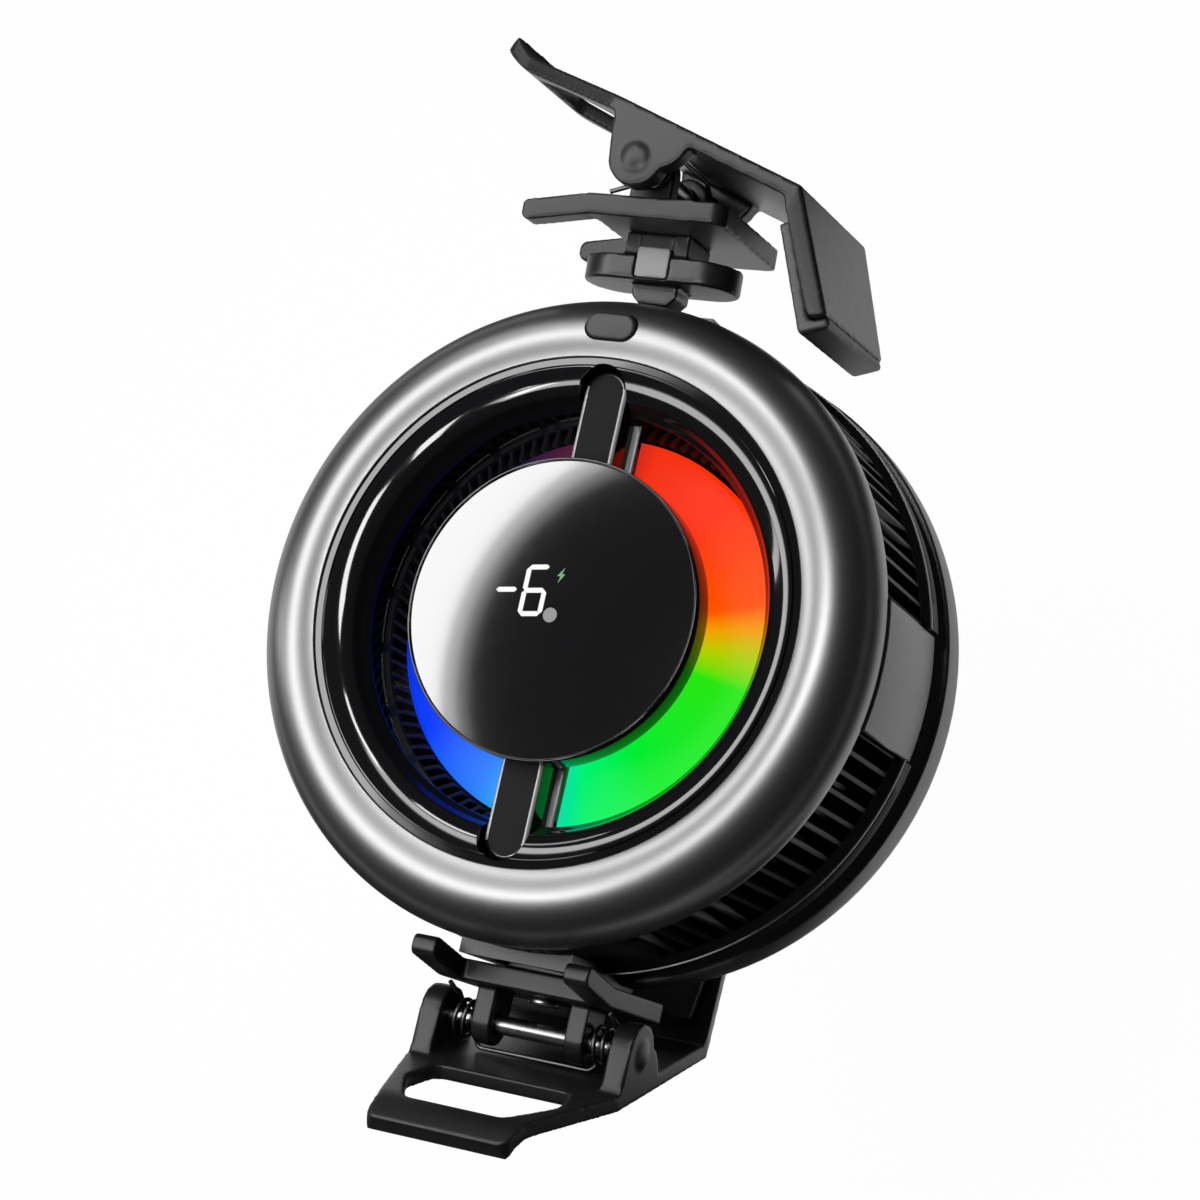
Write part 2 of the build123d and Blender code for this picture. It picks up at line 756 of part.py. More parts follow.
# Inner ring: convex glossy lip, throat and the duct down to the blower, notched for the bars
mouth_start = (mouth_groove_radius - mouth_groove / 2, mouth_top_level)
mouth_end = (mouth_edge_radius, mouth_edge_level)
mouth_middle = (
    (mouth_start[0] + mouth_end[0]) / 2 - mouth_bulge / 2,
    (mouth_start[1] + mouth_end[1]) / 2 + mouth_bulge,
)
ring_radius = bezel_inner_radius - bore_gap
with BuildPart() as inner_ring:
    with BuildSketch(Plane.XZ):
        with BuildLine():
            ThreePointArc(mouth_start, mouth_middle, mouth_end)
            Polyline(
                mouth_end,
                (mouth_step_radius, mouth_step_level),
                (throat_radius, throat_level),
                (duct_radius, duct_level),
                (duct_outer_radius, duct_level),
                (duct_outer_radius, mouth_cavity_level),
                (mouth_wall_radius, mouth_cavity_level + edge_break),
                (mouth_wall_radius, deck_level),
                (ring_radius, deck_level),
                (ring_radius, mouth_top_level),
                (mouth_groove_radius + mouth_groove / 2, mouth_top_level),
                (mouth_groove_radius + mouth_groove / 2, mouth_top_level - mouth_groove),
                (mouth_groove_radius - mouth_groove / 2, mouth_top_level - mouth_groove),
                mouth_start,
            )
        make_face()
    revolve(axis=Axis.Z)
    mouth_edges = inner_ring.edges().filter_by(GeomType.CIRCLE)
    edge_point = Vector(0, 0, mouth_edge_level)
    mouth_edges = mouth_edges.filter_by(lambda e: (e.arc_center - edge_point).length < press_gap)
    fillet(mouth_edges.sort_by(SortBy.RADIUS)[0], mouth_edge_round)
    notch_width = 2 * (bar_half_width + turn_gap)
    notch_end = bar_end_radius + turn_gap
    with BuildSketch(Plane.XY.offset(bar_foot_level)):
        with PolarLocations(notch_end / 2, 2, start_angle=90):
            SlotOverall(notch_end, notch_width)
    extrude(amount=overrun + mouth_top_level - bar_foot_level, mode=Mode.SUBTRACT)
save(inner_ring.part, "inner_ring")

# Display bridge: drum, hollow column with a flange for the light ring, and two bars over the inlet
drum_floor_level = drum_rear_level + drum_floor
with BuildPart() as display_bridge:
    with BuildSketch(Plane.XZ):
        with BuildLine():
            Polyline(
                (0, drum_rear_level),
                (column_radius - column_wall, drum_rear_level),
                (column_radius - column_wall, column_flange_level),
                (column_flange_radius, column_flange_level),
                (column_flange_radius, column_flange_level + column_flange_thickness),
                (column_radius, column_flange_level + column_flange_thickness),
                (column_radius, drum_rear_level),
                (drum_radius, drum_rear_level),
                (drum_radius, drum_top_level),
                (drum_radius - drum_edge, drum_top_level),
                (drum_radius - drum_edge, lens_rear_level),
                (0, lens_rear_level),
                close=True,
            )
        make_face()
    revolve(axis=Axis.Z)
    for turn in (90, 270):
        bar_plane = Plane.XY.rotated((0, 0, turn))
        with BuildSketch(bar_plane.offset(bar_foot_level)):
            with Locations(((bar_inner_radius + bar_end_radius) / 2, 0)):
                bar_reach = bar_end_radius - bar_inner_radius
                SlotOverall(bar_reach, 2 * bar_half_width)
        extrude(amount=bar_top_level - bar_foot_level)
        with BuildSketch(bar_plane.offset(bar_level)):
            with Locations(((bar_inner_radius + bar_foot_radius) / 2, 0)):
                Rectangle(bar_foot_radius - bar_inner_radius, 2 * bar_half_width)
        extrude(amount=bar_top_level - bar_level)
        with BuildSketch(bar_plane.offset(bar_level)):
            with Locations(((bar_inner_radius + bar_foot_radius) / 2, 0)):
                Rectangle(bar_foot_radius - bar_inner_radius, 2 * bar_flange_half_width)
        extrude(amount=bar_flange_thickness)
    with BuildSketch(Plane.XY.offset(drum_floor_level)):
        Circle(display_board_radius + seat_gap)
    extrude(amount=lens_rear_level - drum_floor_level, mode=Mode.SUBTRACT)
    bar_tops = display_bridge.edges().filter_by(lambda e: abs(e.center().Z - bar_top_level) < press_gap)
    chamfer(bar_tops.filter_by(lambda e: abs(e.center().Y) > drum_radius + edge_break), bar_bevel)
save(display_bridge.part, "display_bridge")

with BuildPart() as display_board:
    with BuildSketch(Plane.XY.offset(drum_floor_level)):
        Circle(display_board_radius)
    extrude(amount=display_board_thickness)
save(display_board.part, "display_board")

# Display lens: dark window with a slight dome
lens_radius = drum_radius - drum_edge - bore_gap
lens_rise = lens_top_level - lens_edge_level
lens_sphere = (lens_radius**2 + lens_rise**2) / (2 * lens_rise)
with BuildPart() as display_lens:
    with BuildSketch(Plane.XZ):
        with BuildLine():
            Polyline(
                (0, lens_top_level),
                (0, lens_rear_level),
                (lens_radius, lens_rear_level),
                (lens_radius, lens_edge_level),
            )
            RadiusArc((0, lens_top_level), (lens_radius, lens_edge_level), lens_sphere)
        make_face()
    revolve(axis=Axis.Z)
save(display_lens.part, "display_lens")

# Light ring and the board of lamps behind it
with BuildPart() as light_guide:
    with BuildSketch(Plane.XY.offset(guide_level)):
        Circle(guide_outer_radius)
        Circle(guide_inner_radius, mode=Mode.SUBTRACT)
    extrude(amount=guide_thickness)
    fillet(light_guide.edges().group_by(Axis.Z)[-1].sort_by(SortBy.RADIUS)[-1], guide_round)
save(light_guide.part, "light_guide")

led_board_level = column_flange_level + column_flange_thickness
with BuildPart() as led_board:
    with BuildSketch(Plane.XY.offset(led_board_level)):
        Circle(led_board_radius)
        Circle(guide_inner_radius, mode=Mode.SUBTRACT)
    extrude(amount=led_board_thickness)
    with BuildSketch(Plane.XY.offset(led_board_level + led_board_thickness)):
        with PolarLocations(led_circle_radius, led_count):
            Rectangle(led_width, led_width)
    extrude(amount=guide_level - led_board_level - led_board_thickness)
save(led_board.part, "led_board")


# Socket: a block let into the side of the body, with the pocket for the foot of a clip
def socket_block(turn):
    """Socket block at an angle in degrees round the body."""
    outward = Plane.XY.rotated((0, 0, turn - 90))
    block_height = socket_front_level - socket_rear_level
    with BuildPart() as block:
        with BuildSketch(outward.offset(socket_rear_level)):
            with Locations((0, (socket_inner_radius + face_radius) / 2)):
                Rectangle(2 * socket_half_width, face_radius - socket_inner_radius)
        extrude(amount=block_height)
        toward = Vector(cos(radians(turn)), sin(radians(turn)), 0)
        rear_edges = block.edges().group_by(Axis.Z)[0]
        fillet(rear_edges.sort_by(lambda e: e.center().dot(toward))[-1], socket_rounding)
        mouth = Plane(origin=toward * face_radius, x_dir=(0, 0, 1), z_dir=-toward)
        with BuildSketch(mouth):
            with Locations((clip_level, 0)):
                SlotOverall(tongue_length + 2 * slide_gap, tongue_width + 2 * slide_gap)
        extrude(amount=face_radius - pocket_floor_radius, mode=Mode.SUBTRACT)
    return block.part


save(socket_block(90), "upper_socket")
save(socket_block(270), "lower_socket")

# Clips are modelled as if seated at twelve o'clock: X across, Y outward, Z to the front
arm_along = Vector(0, sin(radians(lever_angle)), cos(radians(lever_angle)))
arm_inward = Vector(0, -cos(radians(lever_angle)), sin(radians(lever_angle)))
pin_point = Vector(0, pin_out, pin_level)
lever_side = Plane(origin=pin_point, x_dir=arm_along, z_dir=(1, 0, 0))
lever_face = Plane(origin=pin_point, x_dir=arm_along, z_dir=arm_inward)
pin_plane = Plane(origin=pin_point, x_dir=(0, 1, 0), z_dir=(1, 0, 0))


def clip_base():
    """Plate with two prongs that reach forward, and two knuckles that carry the pin."""
    with BuildPart() as base:
        with BuildSketch(Plane.XZ.offset(-plate_outer)):
            plate_height = crossbar_front_level - plate_rear_level
            with Locations((0, plate_rear_level + plate_height / 2)):
                Rectangle(2 * plate_half_width, plate_height)
        extrude(amount=plate_thickness)
        rear_corners = base.edges().filter_by(Axis.Y).group_by(Axis.Z)[0]
        fillet(rear_corners, plate_corner)
        for side in (1, -1):
            with BuildSketch(Plane.YZ.offset(side * prong_inner)):
                with BuildLine():
                    Polyline(
                        (plate_inner, crossbar_front_level),
                        (plate_outer, crossbar_front_level),
                        (plate_outer - prong_lean, prong_front_level),
                        (plate_inner - prong_lean, prong_front_level),
                        close=True,
                    )
                make_face()
            extrude(amount=side * (plate_half_width - prong_inner))
        tips = base.edges().filter_by(Axis.X).group_by(Axis.Z)[-1]
        fillet(tips, prong_corner)
        for side in (1, -1):
            with BuildSketch(pin_plane.offset(side * knuckle_inner)):
                Circle(knuckle_radius)
                with Locations((-(pin_height + edge_break) / 2, 0)):
                    Rectangle(pin_height + edge_break, 2 * knuckle_radius)
            extrude(amount=side * (knuckle_outer - knuckle_inner))
        with BuildSketch(pin_plane):
            Circle(pin_radius + bore_gap)
        extrude(amount=plate_half_width, both=True, mode=Mode.SUBTRACT)
        screw_plane = Plane(origin=(0, plate_outer, clip_level), z_dir=(0, -1, 0))
        with BuildSketch(screw_plane):
            Circle(clip_screw_shank_radius + press_gap)
        extrude(amount=plate_thickness, mode=Mode.SUBTRACT)
    return base.part


def clip_foot():
    """Neck, flat tongue and locating tab that plug into the socket."""
    foot_plane = Plane(origin=(0, foot_top, clip_level), x_dir=(0, 0, 1), z_dir=(0, -1, 0))
    with BuildPart() as foot:
        with BuildSketch(foot_plane):
            SlotOverall(neck_length, neck_width)
        extrude(amount=foot_top - neck_base)
        with BuildSketch(foot_plane.offset(foot_top - neck_base)):
            SlotOverall(tongue_length, tongue_width)
        extrude(amount=tongue_thickness)
        fillet(foot.edges().group_by(Axis.Y)[0], edge_break)
        with BuildSketch(foot_plane.offset(foot_top - tongue_base)):
            Rectangle(tab_length, tab_width)
        extrude(amount=tab_thickness)
        chamfer(foot.edges().group_by(Axis.Y)[0].filter_by(Axis.X), tab_chamfer)
        catch_plane = Plane.YZ.offset(tongue_width / 2 - catch_depth - seat_gap)
        with BuildSketch(catch_plane):
            with Locations((foot_top - catch_height / 2, clip_level)):
                Rectangle(catch_height + 2 * seat_gap, catch_length + 2 * seat_gap)
            with Locations((foot_top - catch_height, clip_level)):
                Rectangle(catch_height + 2 * seat_gap, catch_length + 2 * seat_gap)
        extrude(amount=overrun, mode=Mode.SUBTRACT)
        with BuildSketch(foot_plane):
            Circle(clip_screw_shank_radius + press_gap)
        extrude(amount=clip_screw_shank_length, mode=Mode.SUBTRACT)
    return foot.part


def clip_catch():
    """Small light catch let into the side of the foot, stepped where it springs."""
    catch_plane = Plane.YZ.offset(tongue_width / 2 - catch_depth)
    with BuildPart() as catch:
        with BuildSketch(catch_plane):
            with Locations((foot_top - catch_height, clip_level)):
                Rectangle(catch_height, catch_length)
        extrude(amount=catch_depth)
        with BuildSketch(catch_plane):
            with Locations((foot_top - catch_height + catch_height / 2 - catch_step / 2, clip_level)):
                Rectangle(catch_step, catch_length)
        extrude(amount=catch_depth - edge_break, mode=Mode.ADD)
        fillet(catch.edges().filter_by(Axis.X), edge_break)
    return catch.part


def clip_screw():
    """Cross-head screw between the knuckles, which holds the foot to the plate."""
    head_plane = Plane(origin=(0, plate_outer, clip_level), z_dir=(0, 1, 0))
    with BuildPart() as screw:
        with BuildSketch(head_plane):
            Circle(clip_screw_head_radius)
        extrude(amount=clip_screw_head_height)
        fillet(screw.edges().group_by(Axis.Y)[-1], edge_break)
        with BuildSketch(head_plane):
            Circle(clip_screw_shank_radius)
        extrude(amount=-clip_screw_shank_length)
        with BuildSketch(head_plane.offset(clip_screw_head_height)):
            Rectangle(2 * clip_screw_shank_radius, drive_slot_width)
            Rectangle(drive_slot_width, 2 * clip_screw_shank_radius)
        extrude(amount=-drive_slot_depth, mode=Mode.SUBTRACT)
    return screw.part


# Side view of the lever: the jaw turns in from the bend by the jaw angle
jaw_along = (cos(radians(jaw_angle)), sin(radians(jaw_angle)))
jaw_inward = (sin(radians(jaw_angle)), -cos(radians(jaw_angle)))
bend_outer = (-bend_back, -arm_outer)
bend_shift = (arm_thickness - jaw_thickness * jaw_inward[1]) / jaw_along[1]


def jaw_point(along, inward):
    """Point of the lever's side view, from the outer corner of the bend."""
    return tuple(bend_outer[k] + along * jaw_along[k] + inward * jaw_inward[k] for k in (0, 1))


def clip_lever():
    """Lever: finger arm with its opening, two ears on the pin, and the jaw."""
    arm_inner = arm_outer - arm_thickness
    bend_inner = jaw_point(bend_shift, jaw_thickness)
    tip_outer = (tip_reach, -arm_outer - tip_bow)
    tip_inner = (tip_reach + tip_bow / 2, -arm_outer - tip_bow + tip_thickness)
    with BuildPart() as lever:
        with BuildSketch(lever_side) as side_view:
            with BuildLine():
                Polyline(
                    (tip_bow_start, -arm_inner),
                    bend_inner,
                    jaw_point(jaw_length, jaw_thickness),
                    jaw_point(jaw_length, 0),
                    bend_outer,
                    (tip_bow_start, -arm_outer),
                )
                TangentArc((tip_bow_start, -arm_outer), tip_outer, tangent=(1, 0))
                Line(tip_outer, tip_inner)
                TangentArc((tip_bow_start, -arm_inner), tip_inner, tangent=(1, 0))
            make_face()
            corners = side_view.vertices()
            inner_corner = corners.sort_by_distance(lever_side.from_local_coords(bend_inner))[0]
            outer_corner = corners.sort_by_distance(lever_side.from_local_coords(bend_outer))[0]
            fillet(inner_corner, bend_inner_round)
            fillet(outer_corner, bend_outer_round)
        extrude(amount=lever_half_width, both=True)
        with BuildSketch(lever_face) as front_view:
            rear_end = jaw_point(jaw_length, 0)[0] - edge_break
            front_end = tip_inner[0] + edge_break
            with BuildLine():
                for side in (1, -1):
                    Polyline(
                        (rear_end, 0),
                        (rear_end, side * jaw_tip_half_width),
                        (-bend_back, side * lever_half_width),
                        (arm_full_width_reach, side * lever_half_width),
                    )
                    TangentArc(
                        (arm_full_width_reach, side * lever_half_width),
                        (arm_taper_reach, side * arm_taper_half_width),
                        tangent=(1, 0),
                    )
                    Polyline(
                        (arm_taper_reach, side * arm_taper_half_width),
                        (front_end, side * tip_half_width),
                        (front_end, 0),
                    )
            make_face()
            ends = front_view.vertices().group_by(lambda v: round(lever_face.to_local_coords(v).X, 3))
            fillet(ends[-1], tip_corner)
            fillet(ends[0], jaw_corner)
        extrude(amount=2 * bend_back, both=True, mode=Mode.INTERSECT)
        for side in (1, -1):
            with BuildSketch(lever_side.offset(side * ear_inner)):
                ear_root = -arm_outer + arm_thickness / 2
                front_root = (ear_front_reach, ear_root)
                tangent_turn = degrees(atan2(ear_root, ear_front_reach))
                tangent_turn += degrees(acos(ear_lobe_radius / sqrt(ear_front_reach**2 + ear_root**2)))
                with BuildLine():
                    Line(front_root, on_circle((0, 0), ear_lobe_radius, tangent_turn))
                    CenterArc((0, 0), ear_lobe_radius, tangent_turn, 180 - tangent_turn)
                    RadiusArc((-ear_lobe_radius, 0), (-ear_rear_reach, ear_root), -ear_rear_hollow)
                    Line((-ear_rear_reach, ear_root), front_root)
                make_face()
            extrude(amount=side * (lever_half_width - ear_inner))
        with BuildSketch(lever_side):
            Circle(pin_radius + press_gap)
        extrude(amount=lever_half_width + overrun, both=True, mode=Mode.SUBTRACT)
        with BuildSketch(lever_face) as opening:
            with BuildLine():
                Polyline(
                    (loop_near, loop_near_half_width),
                    (loop_knee, loop_knee_half_width),
                    (loop_far, loop_far_half_width),
                    (loop_far, -loop_far_half_width),
                    (loop_knee, -loop_knee_half_width),
                    (loop_near, -loop_near_half_width),
                    close=True,
                )
            make_face()
            fillet(opening.vertices(), loop_corner)
        extrude(amount=-2 * arm_outer, mode=Mode.SUBTRACT)
    return lever.part


def clip_jaw_pad():
    """Rubber pad on the inner face of the jaw, wrapped over its tip."""
    with BuildPart() as pad:
        with BuildSketch(lever_side):
            with BuildLine():
                Polyline(
                    jaw_point(pad_start, jaw_thickness),
                    jaw_point(pad_start, jaw_thickness + pad_thickness),
                    jaw_point(jaw_length + pad_end_wrap, jaw_thickness + pad_thickness),
                    jaw_point(jaw_length + pad_end_wrap, 0),
                    jaw_point(jaw_length, 0),
                    jaw_point(jaw_length, jaw_thickness),
                    close=True,
                )
            make_face()
        extrude(amount=jaw_tip_half_width - pad_side_margin, both=True)
        long_edges = pad.edges().filter_by(Axis.X).sort_by(lambda e: (e.center() - pin_point).dot(arm_inward))
        fillet(long_edges[-2:], pad_round)
    return pad.part


def clip_pivot_pin():
    """Steel pin through both ears and both knuckles, with a low head at each end."""
    with BuildPart() as pin:
        with BuildSketch(pin_plane):
            Circle(pin_radius)
        extrude(amount=lever_half_width, both=True)
        for side in (1, -1):
            with BuildSketch(pin_plane.offset(side * lever_half_width)):
                Circle(pin_head_radius)
            extrude(amount=side * pin_head_thickness)
        fillet(pin.edges().filter_by(GeomType.CIRCLE).group_by(Axis.X)[-1], edge_break)
        fillet(pin.edges().filter_by(GeomType.CIRCLE).group_by(Axis.X)[0], edge_break)
    return pin.part


def biarc(start, start_way, end, end_way):
    """Join two points by two arcs that are tangent to each other and to both directions."""
    chord = end - start
    ways = start_way + end_way
    spread = 2 * (1 - start_way.dot(end_way))
    reach = (sqrt(chord.dot(ways) ** 2 + spread * chord.dot(chord)) - chord.dot(ways)) / spread
    first = start + start_way * reach
    second = end - end_way * reach
    middle = (first + second) / 2
    TangentArc(start, middle, tangent=start_way)
    TangentArc(middle, end, tangent=second - first)


def spring_stations():
    """Points and directions along half of the double spring, from its leg to the middle of its bridge."""
    bridge_turn = -lever_angle
    lead_out = sqrt(bridge_reach**2 - spring_radius**2)
    coil_end = bridge_turn - degrees(atan2(lead_out, spring_radius)) + 360 * (spring_full_turns + 1)
    turn_step = (coil_end - leg_angle) / spring_quarters
    x_step = (spring_outer_x - spring_inner_x) / spring_quarters

    def station(k):
        turn = radians(leg_angle + turn_step * k)
        out = Vector(0, cos(turn), sin(turn)) * spring_radius
        climb = x_step if 0 < k < spring_quarters else 0
        arc = spring_radius * radians(turn_step)
        way = Vector(-climb, -sin(turn) * arc, cos(turn) * arc)
        return pin_point + out + Vector(spring_outer_x - x_step * k, 0, 0), way.normalized()

    coil = [station(k) for k in range(spring_quarters + 1)]
    leg_point, leg_way = coil[0]
    exit_point, exit_way = coil[-1]
    corner = exit_point + exit_way * lead_out
    inward = Vector(-1, 0, 0)
    stations = [(leg_point - leg_way * leg_length, leg_way)] + coil
    stations.append((corner - exit_way * bridge_corner, exit_way))
    stations.append((corner + inward * bridge_corner, inward))
    return stations


def clip_spring():
    """Double torsion spring: two coils on the pin, a bridge across the arm and two legs on the plate."""
    half = spring_stations()
    mirrored = [
        (Vector(-point.X, point.Y, point.Z), Vector(way.X, -way.Y, -way.Z)) for point, way in reversed(half)
    ]
    stations = half + mirrored
    with BuildPart() as spring:
        with BuildLine() as route:
            for (start, start_way), (end, end_way) in zip(stations, stations[1:]):
                if start_way.dot(end_way) > 1 - 1e-9:
                    Line(start, end)
                else:
                    biarc(start, start_way, end, end_way)
        wire = route.wires()[0]
        with BuildSketch(Plane(origin=stations[0][0], z_dir=stations[0][1])):
            Circle(spring_wire / 2)
        sweep(path=wire)
    return spring.part, wire


def least_gap(wire):
    """Least distance between turns of a wire, surface to surface, measured on points."""
    steps = int(6 * wire.length / spring_wire)
    points = [tuple(wire.position_at(k / steps)) for k in range(steps + 1)]
    skip = int(3 * spring_radius / wire.length * steps)
    return min(dist(a, b) for i, a in enumerate(points) for b in points[i + skip :]) - spring_wire


# Both clips are the same: one seated at six o'clock, one floating free above twelve o'clock
seat_lower = Location((0, 0, 0), (0, 0, 180))
lift_place = Location((lift_aside, face_radius + lift_up, clip_level + lift_forward))
lift_turn = Rotation(0, lift_turn_y, 0) * Rotation(lift_turn_x, 0, 0) * Rotation(0, 0, lift_turn_z)
lift_upper = lift_place * lift_turn * Location((0, -face_radius, -clip_level))

spring_solid, spring_route = clip_spring()
clip_pieces = {
    "clip_base": clip_base(),
    "clip_foot": clip_foot(),
    "clip_catch": clip_catch(),
    "clip_screw": clip_screw(),
    "lever": clip_lever(),
    "jaw_pad": clip_jaw_pad(),
    "pivot_pin": clip_pivot_pin(),
    "spring": spring_solid,
}
for side, place in (("lower", seat_lower), ("upper", lift_upper)):
    for name, piece in clip_pieces.items():
        save(piece.moved(place), f"{side}_{name}")

wire_volume = pi * (spring_wire / 2) ** 2 * spring_route.length
volume_share = spring_solid.volume / wire_volume
print("spring wire length", round(spring_route.length, 3), "volume share", round(volume_share, 4))
print("spring least gap", round(least_gap(spring_route), 3))
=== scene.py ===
# %% [markdown]
# # A phone cooling fan in a white studio
# The real object is a round cooler for a phone: a cold plate behind, a lit air inlet and a small
# display in front, slots all round the side, and two sprung clips. One clip is seated at six
# o'clock, the other floats above twelve o'clock. The CAD part is loaded as a fixed frame. Every
# piece below is placed in that frame, in metres, and the finishes and lights are chosen so that the
# picture looks like the photograph.

# %% Load the frame
import json
from math import acos, asin, atan2, cos, degrees, hypot, pi, radians, sin

import bmesh
import bpy
from mathutils import Matrix, Vector


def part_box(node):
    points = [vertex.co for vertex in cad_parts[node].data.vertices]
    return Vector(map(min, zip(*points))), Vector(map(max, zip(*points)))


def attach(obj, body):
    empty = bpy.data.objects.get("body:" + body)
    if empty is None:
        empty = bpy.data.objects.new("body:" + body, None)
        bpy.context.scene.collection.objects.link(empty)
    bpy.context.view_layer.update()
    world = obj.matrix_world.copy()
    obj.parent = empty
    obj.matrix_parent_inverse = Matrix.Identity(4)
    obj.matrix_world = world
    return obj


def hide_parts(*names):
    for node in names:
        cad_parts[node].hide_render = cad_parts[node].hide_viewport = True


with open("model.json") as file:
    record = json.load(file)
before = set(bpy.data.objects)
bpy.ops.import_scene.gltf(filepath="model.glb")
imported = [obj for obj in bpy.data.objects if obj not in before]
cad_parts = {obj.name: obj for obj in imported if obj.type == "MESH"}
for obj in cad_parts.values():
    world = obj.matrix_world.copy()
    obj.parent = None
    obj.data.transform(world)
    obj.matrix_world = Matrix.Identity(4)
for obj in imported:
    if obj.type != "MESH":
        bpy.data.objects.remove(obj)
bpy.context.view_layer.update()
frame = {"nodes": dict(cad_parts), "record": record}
MM = 0.001
print("frame loaded with", len(frame["nodes"]), "nodes")

# %% [markdown]
# ## Sizes that come from the frame
# A drawing gives each radius once. Here the CAD model is the drawing, so the main radii and levels
# are read from the boxes of its nodes, in millimetres, and the smaller ones follow from them.


# %% Read radii and levels
def radius_of(node):
    """Greatest reach of a round node along X, in millimetres."""
    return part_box(node)[1].x / MM


def levels_of(node):
    """Lowest and highest level of a node along Z, in millimetres."""
    low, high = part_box(node)
    return low.z / MM, high.z / MM


BEZEL_RADIUS = radius_of("front_bezel")
BEZEL_REAR, BEZEL_TOP = levels_of("front_bezel")
MOUTH_RADIUS = radius_of("inner_ring")
DUCT_LEVEL, MOUTH_TOP = levels_of("inner_ring")
BOARD_MARGIN = 2.0
DRUM_RADIUS = radius_of("display_board") + BOARD_MARGIN
LENS_RADIUS = radius_of("display_lens")
LENS_REAR, LENS_TOP = levels_of("display_lens")
GUIDE_RADIUS = radius_of("light_guide")
GUIDE_REAR, GUIDE_TOP = levels_of("light_guide")
BUTTON_TOP = levels_of("power_button")[1]
BAR_HALF_WIDTH = 2.3
BAR_FOOT = 26.2
print("bezel radius", round(BEZEL_RADIUS, 2), "mm, lens radius", round(LENS_RADIUS, 2), "mm")

# %% [markdown]
# ## Shader maths as Python
# A finish is a small sum of noises and masks. One class wraps a socket so that such a sum can be
# written as plain Python, and a second one holds the material, with a single method that adds any
# other kind of node.


# %% Wrap a socket and a material
class Signal:
    """A socket's value, which takes part in Python sums and adds its own Math nodes."""

    def __init__(self, finish, socket):
        self.finish = finish
        self.socket = socket

    def maths(self, operation, *values):
        return self.finish.node("ShaderNodeMath", {"operation": operation}, dict(enumerate(values)))

    def __add__(self, other):
        return self.maths("ADD", self, other)

    def __radd__(self, other):
        return self.maths("ADD", other, self)

    def __sub__(self, other):
        return self.maths("SUBTRACT", self, other)

    def __rsub__(self, other):
        return self.maths("SUBTRACT", other, self)

    def __mul__(self, other):
        return self.maths("MULTIPLY", self, other)

    def __rmul__(self, other):
        return self.maths("MULTIPLY", other, self)

    def __truediv__(self, other):
        return self.maths("DIVIDE", self, other)


class Finish:
    """A procedural material, made of one shader and the nodes that feed it."""

    def __init__(self, name, **constants):
        self.material = bpy.data.materials.new(name)
        self.material.use_nodes = True
        self.tree = self.material.node_tree
        self.shader = self.tree.nodes["Principled BSDF"]
        for socket, value in constants.items():
            self.shader.inputs[socket.replace("_", " ")].default_value = value

    def node(self, kind, settings, sockets, output=0):
        """Adds a node: its settings first, then the values or links of its sockets."""
        added = self.tree.nodes.new(kind)
        for setting, value in settings.items():
            if setting == "stops":
                self.fill_ramp(added.color_ramp, value)
            else:
                setattr(added, setting, value)
        for key, value in sockets.items():
            if isinstance(value, Signal):
                self.tree.links.new(value.socket, added.inputs[key])
            else:
                added.inputs[key].default_value = value
        return Signal(self, added.outputs[output])

    def fill_ramp(self, ramp, stops):
        """Gives a colour ramp its stops, as pairs of a place and a colour."""
        while len(ramp.elements) < len(stops):
            ramp.elements.new(1.0)
        for element, (place, colour) in zip(ramp.elements, stops):
            element.position = place
            element.color = (*colour, 1.0)

    def feed(self, socket, signal):
        """Links a signal to a socket of the shader."""
        self.tree.links.new(signal.socket, self.shader.inputs[socket])

    def place(self):
        """The piece's own coordinates, in metres."""
        return self.node("ShaderNodeTexCoord", {}, {}, "Object")

    def noise(self, per_metre):
        """Even noise from 0 to 1 with that many features in a metre."""
        sockets = {"Vector": self.place(), "Scale": per_metre, "Detail": 2.0}
        return self.node("ShaderNodeTexNoise", {}, sockets, "Fac")

    def grain(self, per_metre, strength):
        """Fine moulded grain, as a bump in the surface."""
        sockets = {"Height": self.noise(per_metre), "Strength": strength, "Distance": 0.00002}
        self.feed("Normal", self.node("ShaderNodeBump", {}, sockets, "Normal"))

    def uneven(self, base, spread, per_metre):
        """Lets the roughness wander a little round its base value."""
        self.feed("Roughness", self.noise(per_metre) * spread + (base - spread / 2))


# %% [markdown]
# ## The black plastics
# Everything black in the photograph is plastic, and only the gloss tells the pieces apart: the lip
# of the inlet and the window are polished, the bezel is satin, the clips and the body are matt.
# Each gets its own roughness, a slow change of that roughness so that a highlight is never
# perfectly clean, and a fine grain where the real surface isn't smooth.


# %% Make the finishes
GLOSS_PATCHES = 900.0
GRAINS = 5200.0
ROLL_MARKS = 700.0
LATHE_RINGS = 1400.0
FINISHES = {}


def plastic(name, colour, roughness, spread=0.05, grain=0.15, **constants):
    """Moulded plastic with a wandering gloss, and a little grain unless that is 0."""
    finish = Finish(name, Base_Color=(*colour, 1.0), **constants)
    finish.uneven(roughness, spread, GLOSS_PATCHES)
    if grain:
        finish.grain(GRAINS, grain)
    FINISHES[name] = finish.material


def metal(name, colour, roughness):
    """Bare metal with a little unevenness from rolling."""
    finish = Finish(name, Base_Color=(*colour, 1.0), Metallic=1.0)
    finish.uneven(roughness, 0.1, ROLL_MARKS)
    FINISHES[name] = finish.material


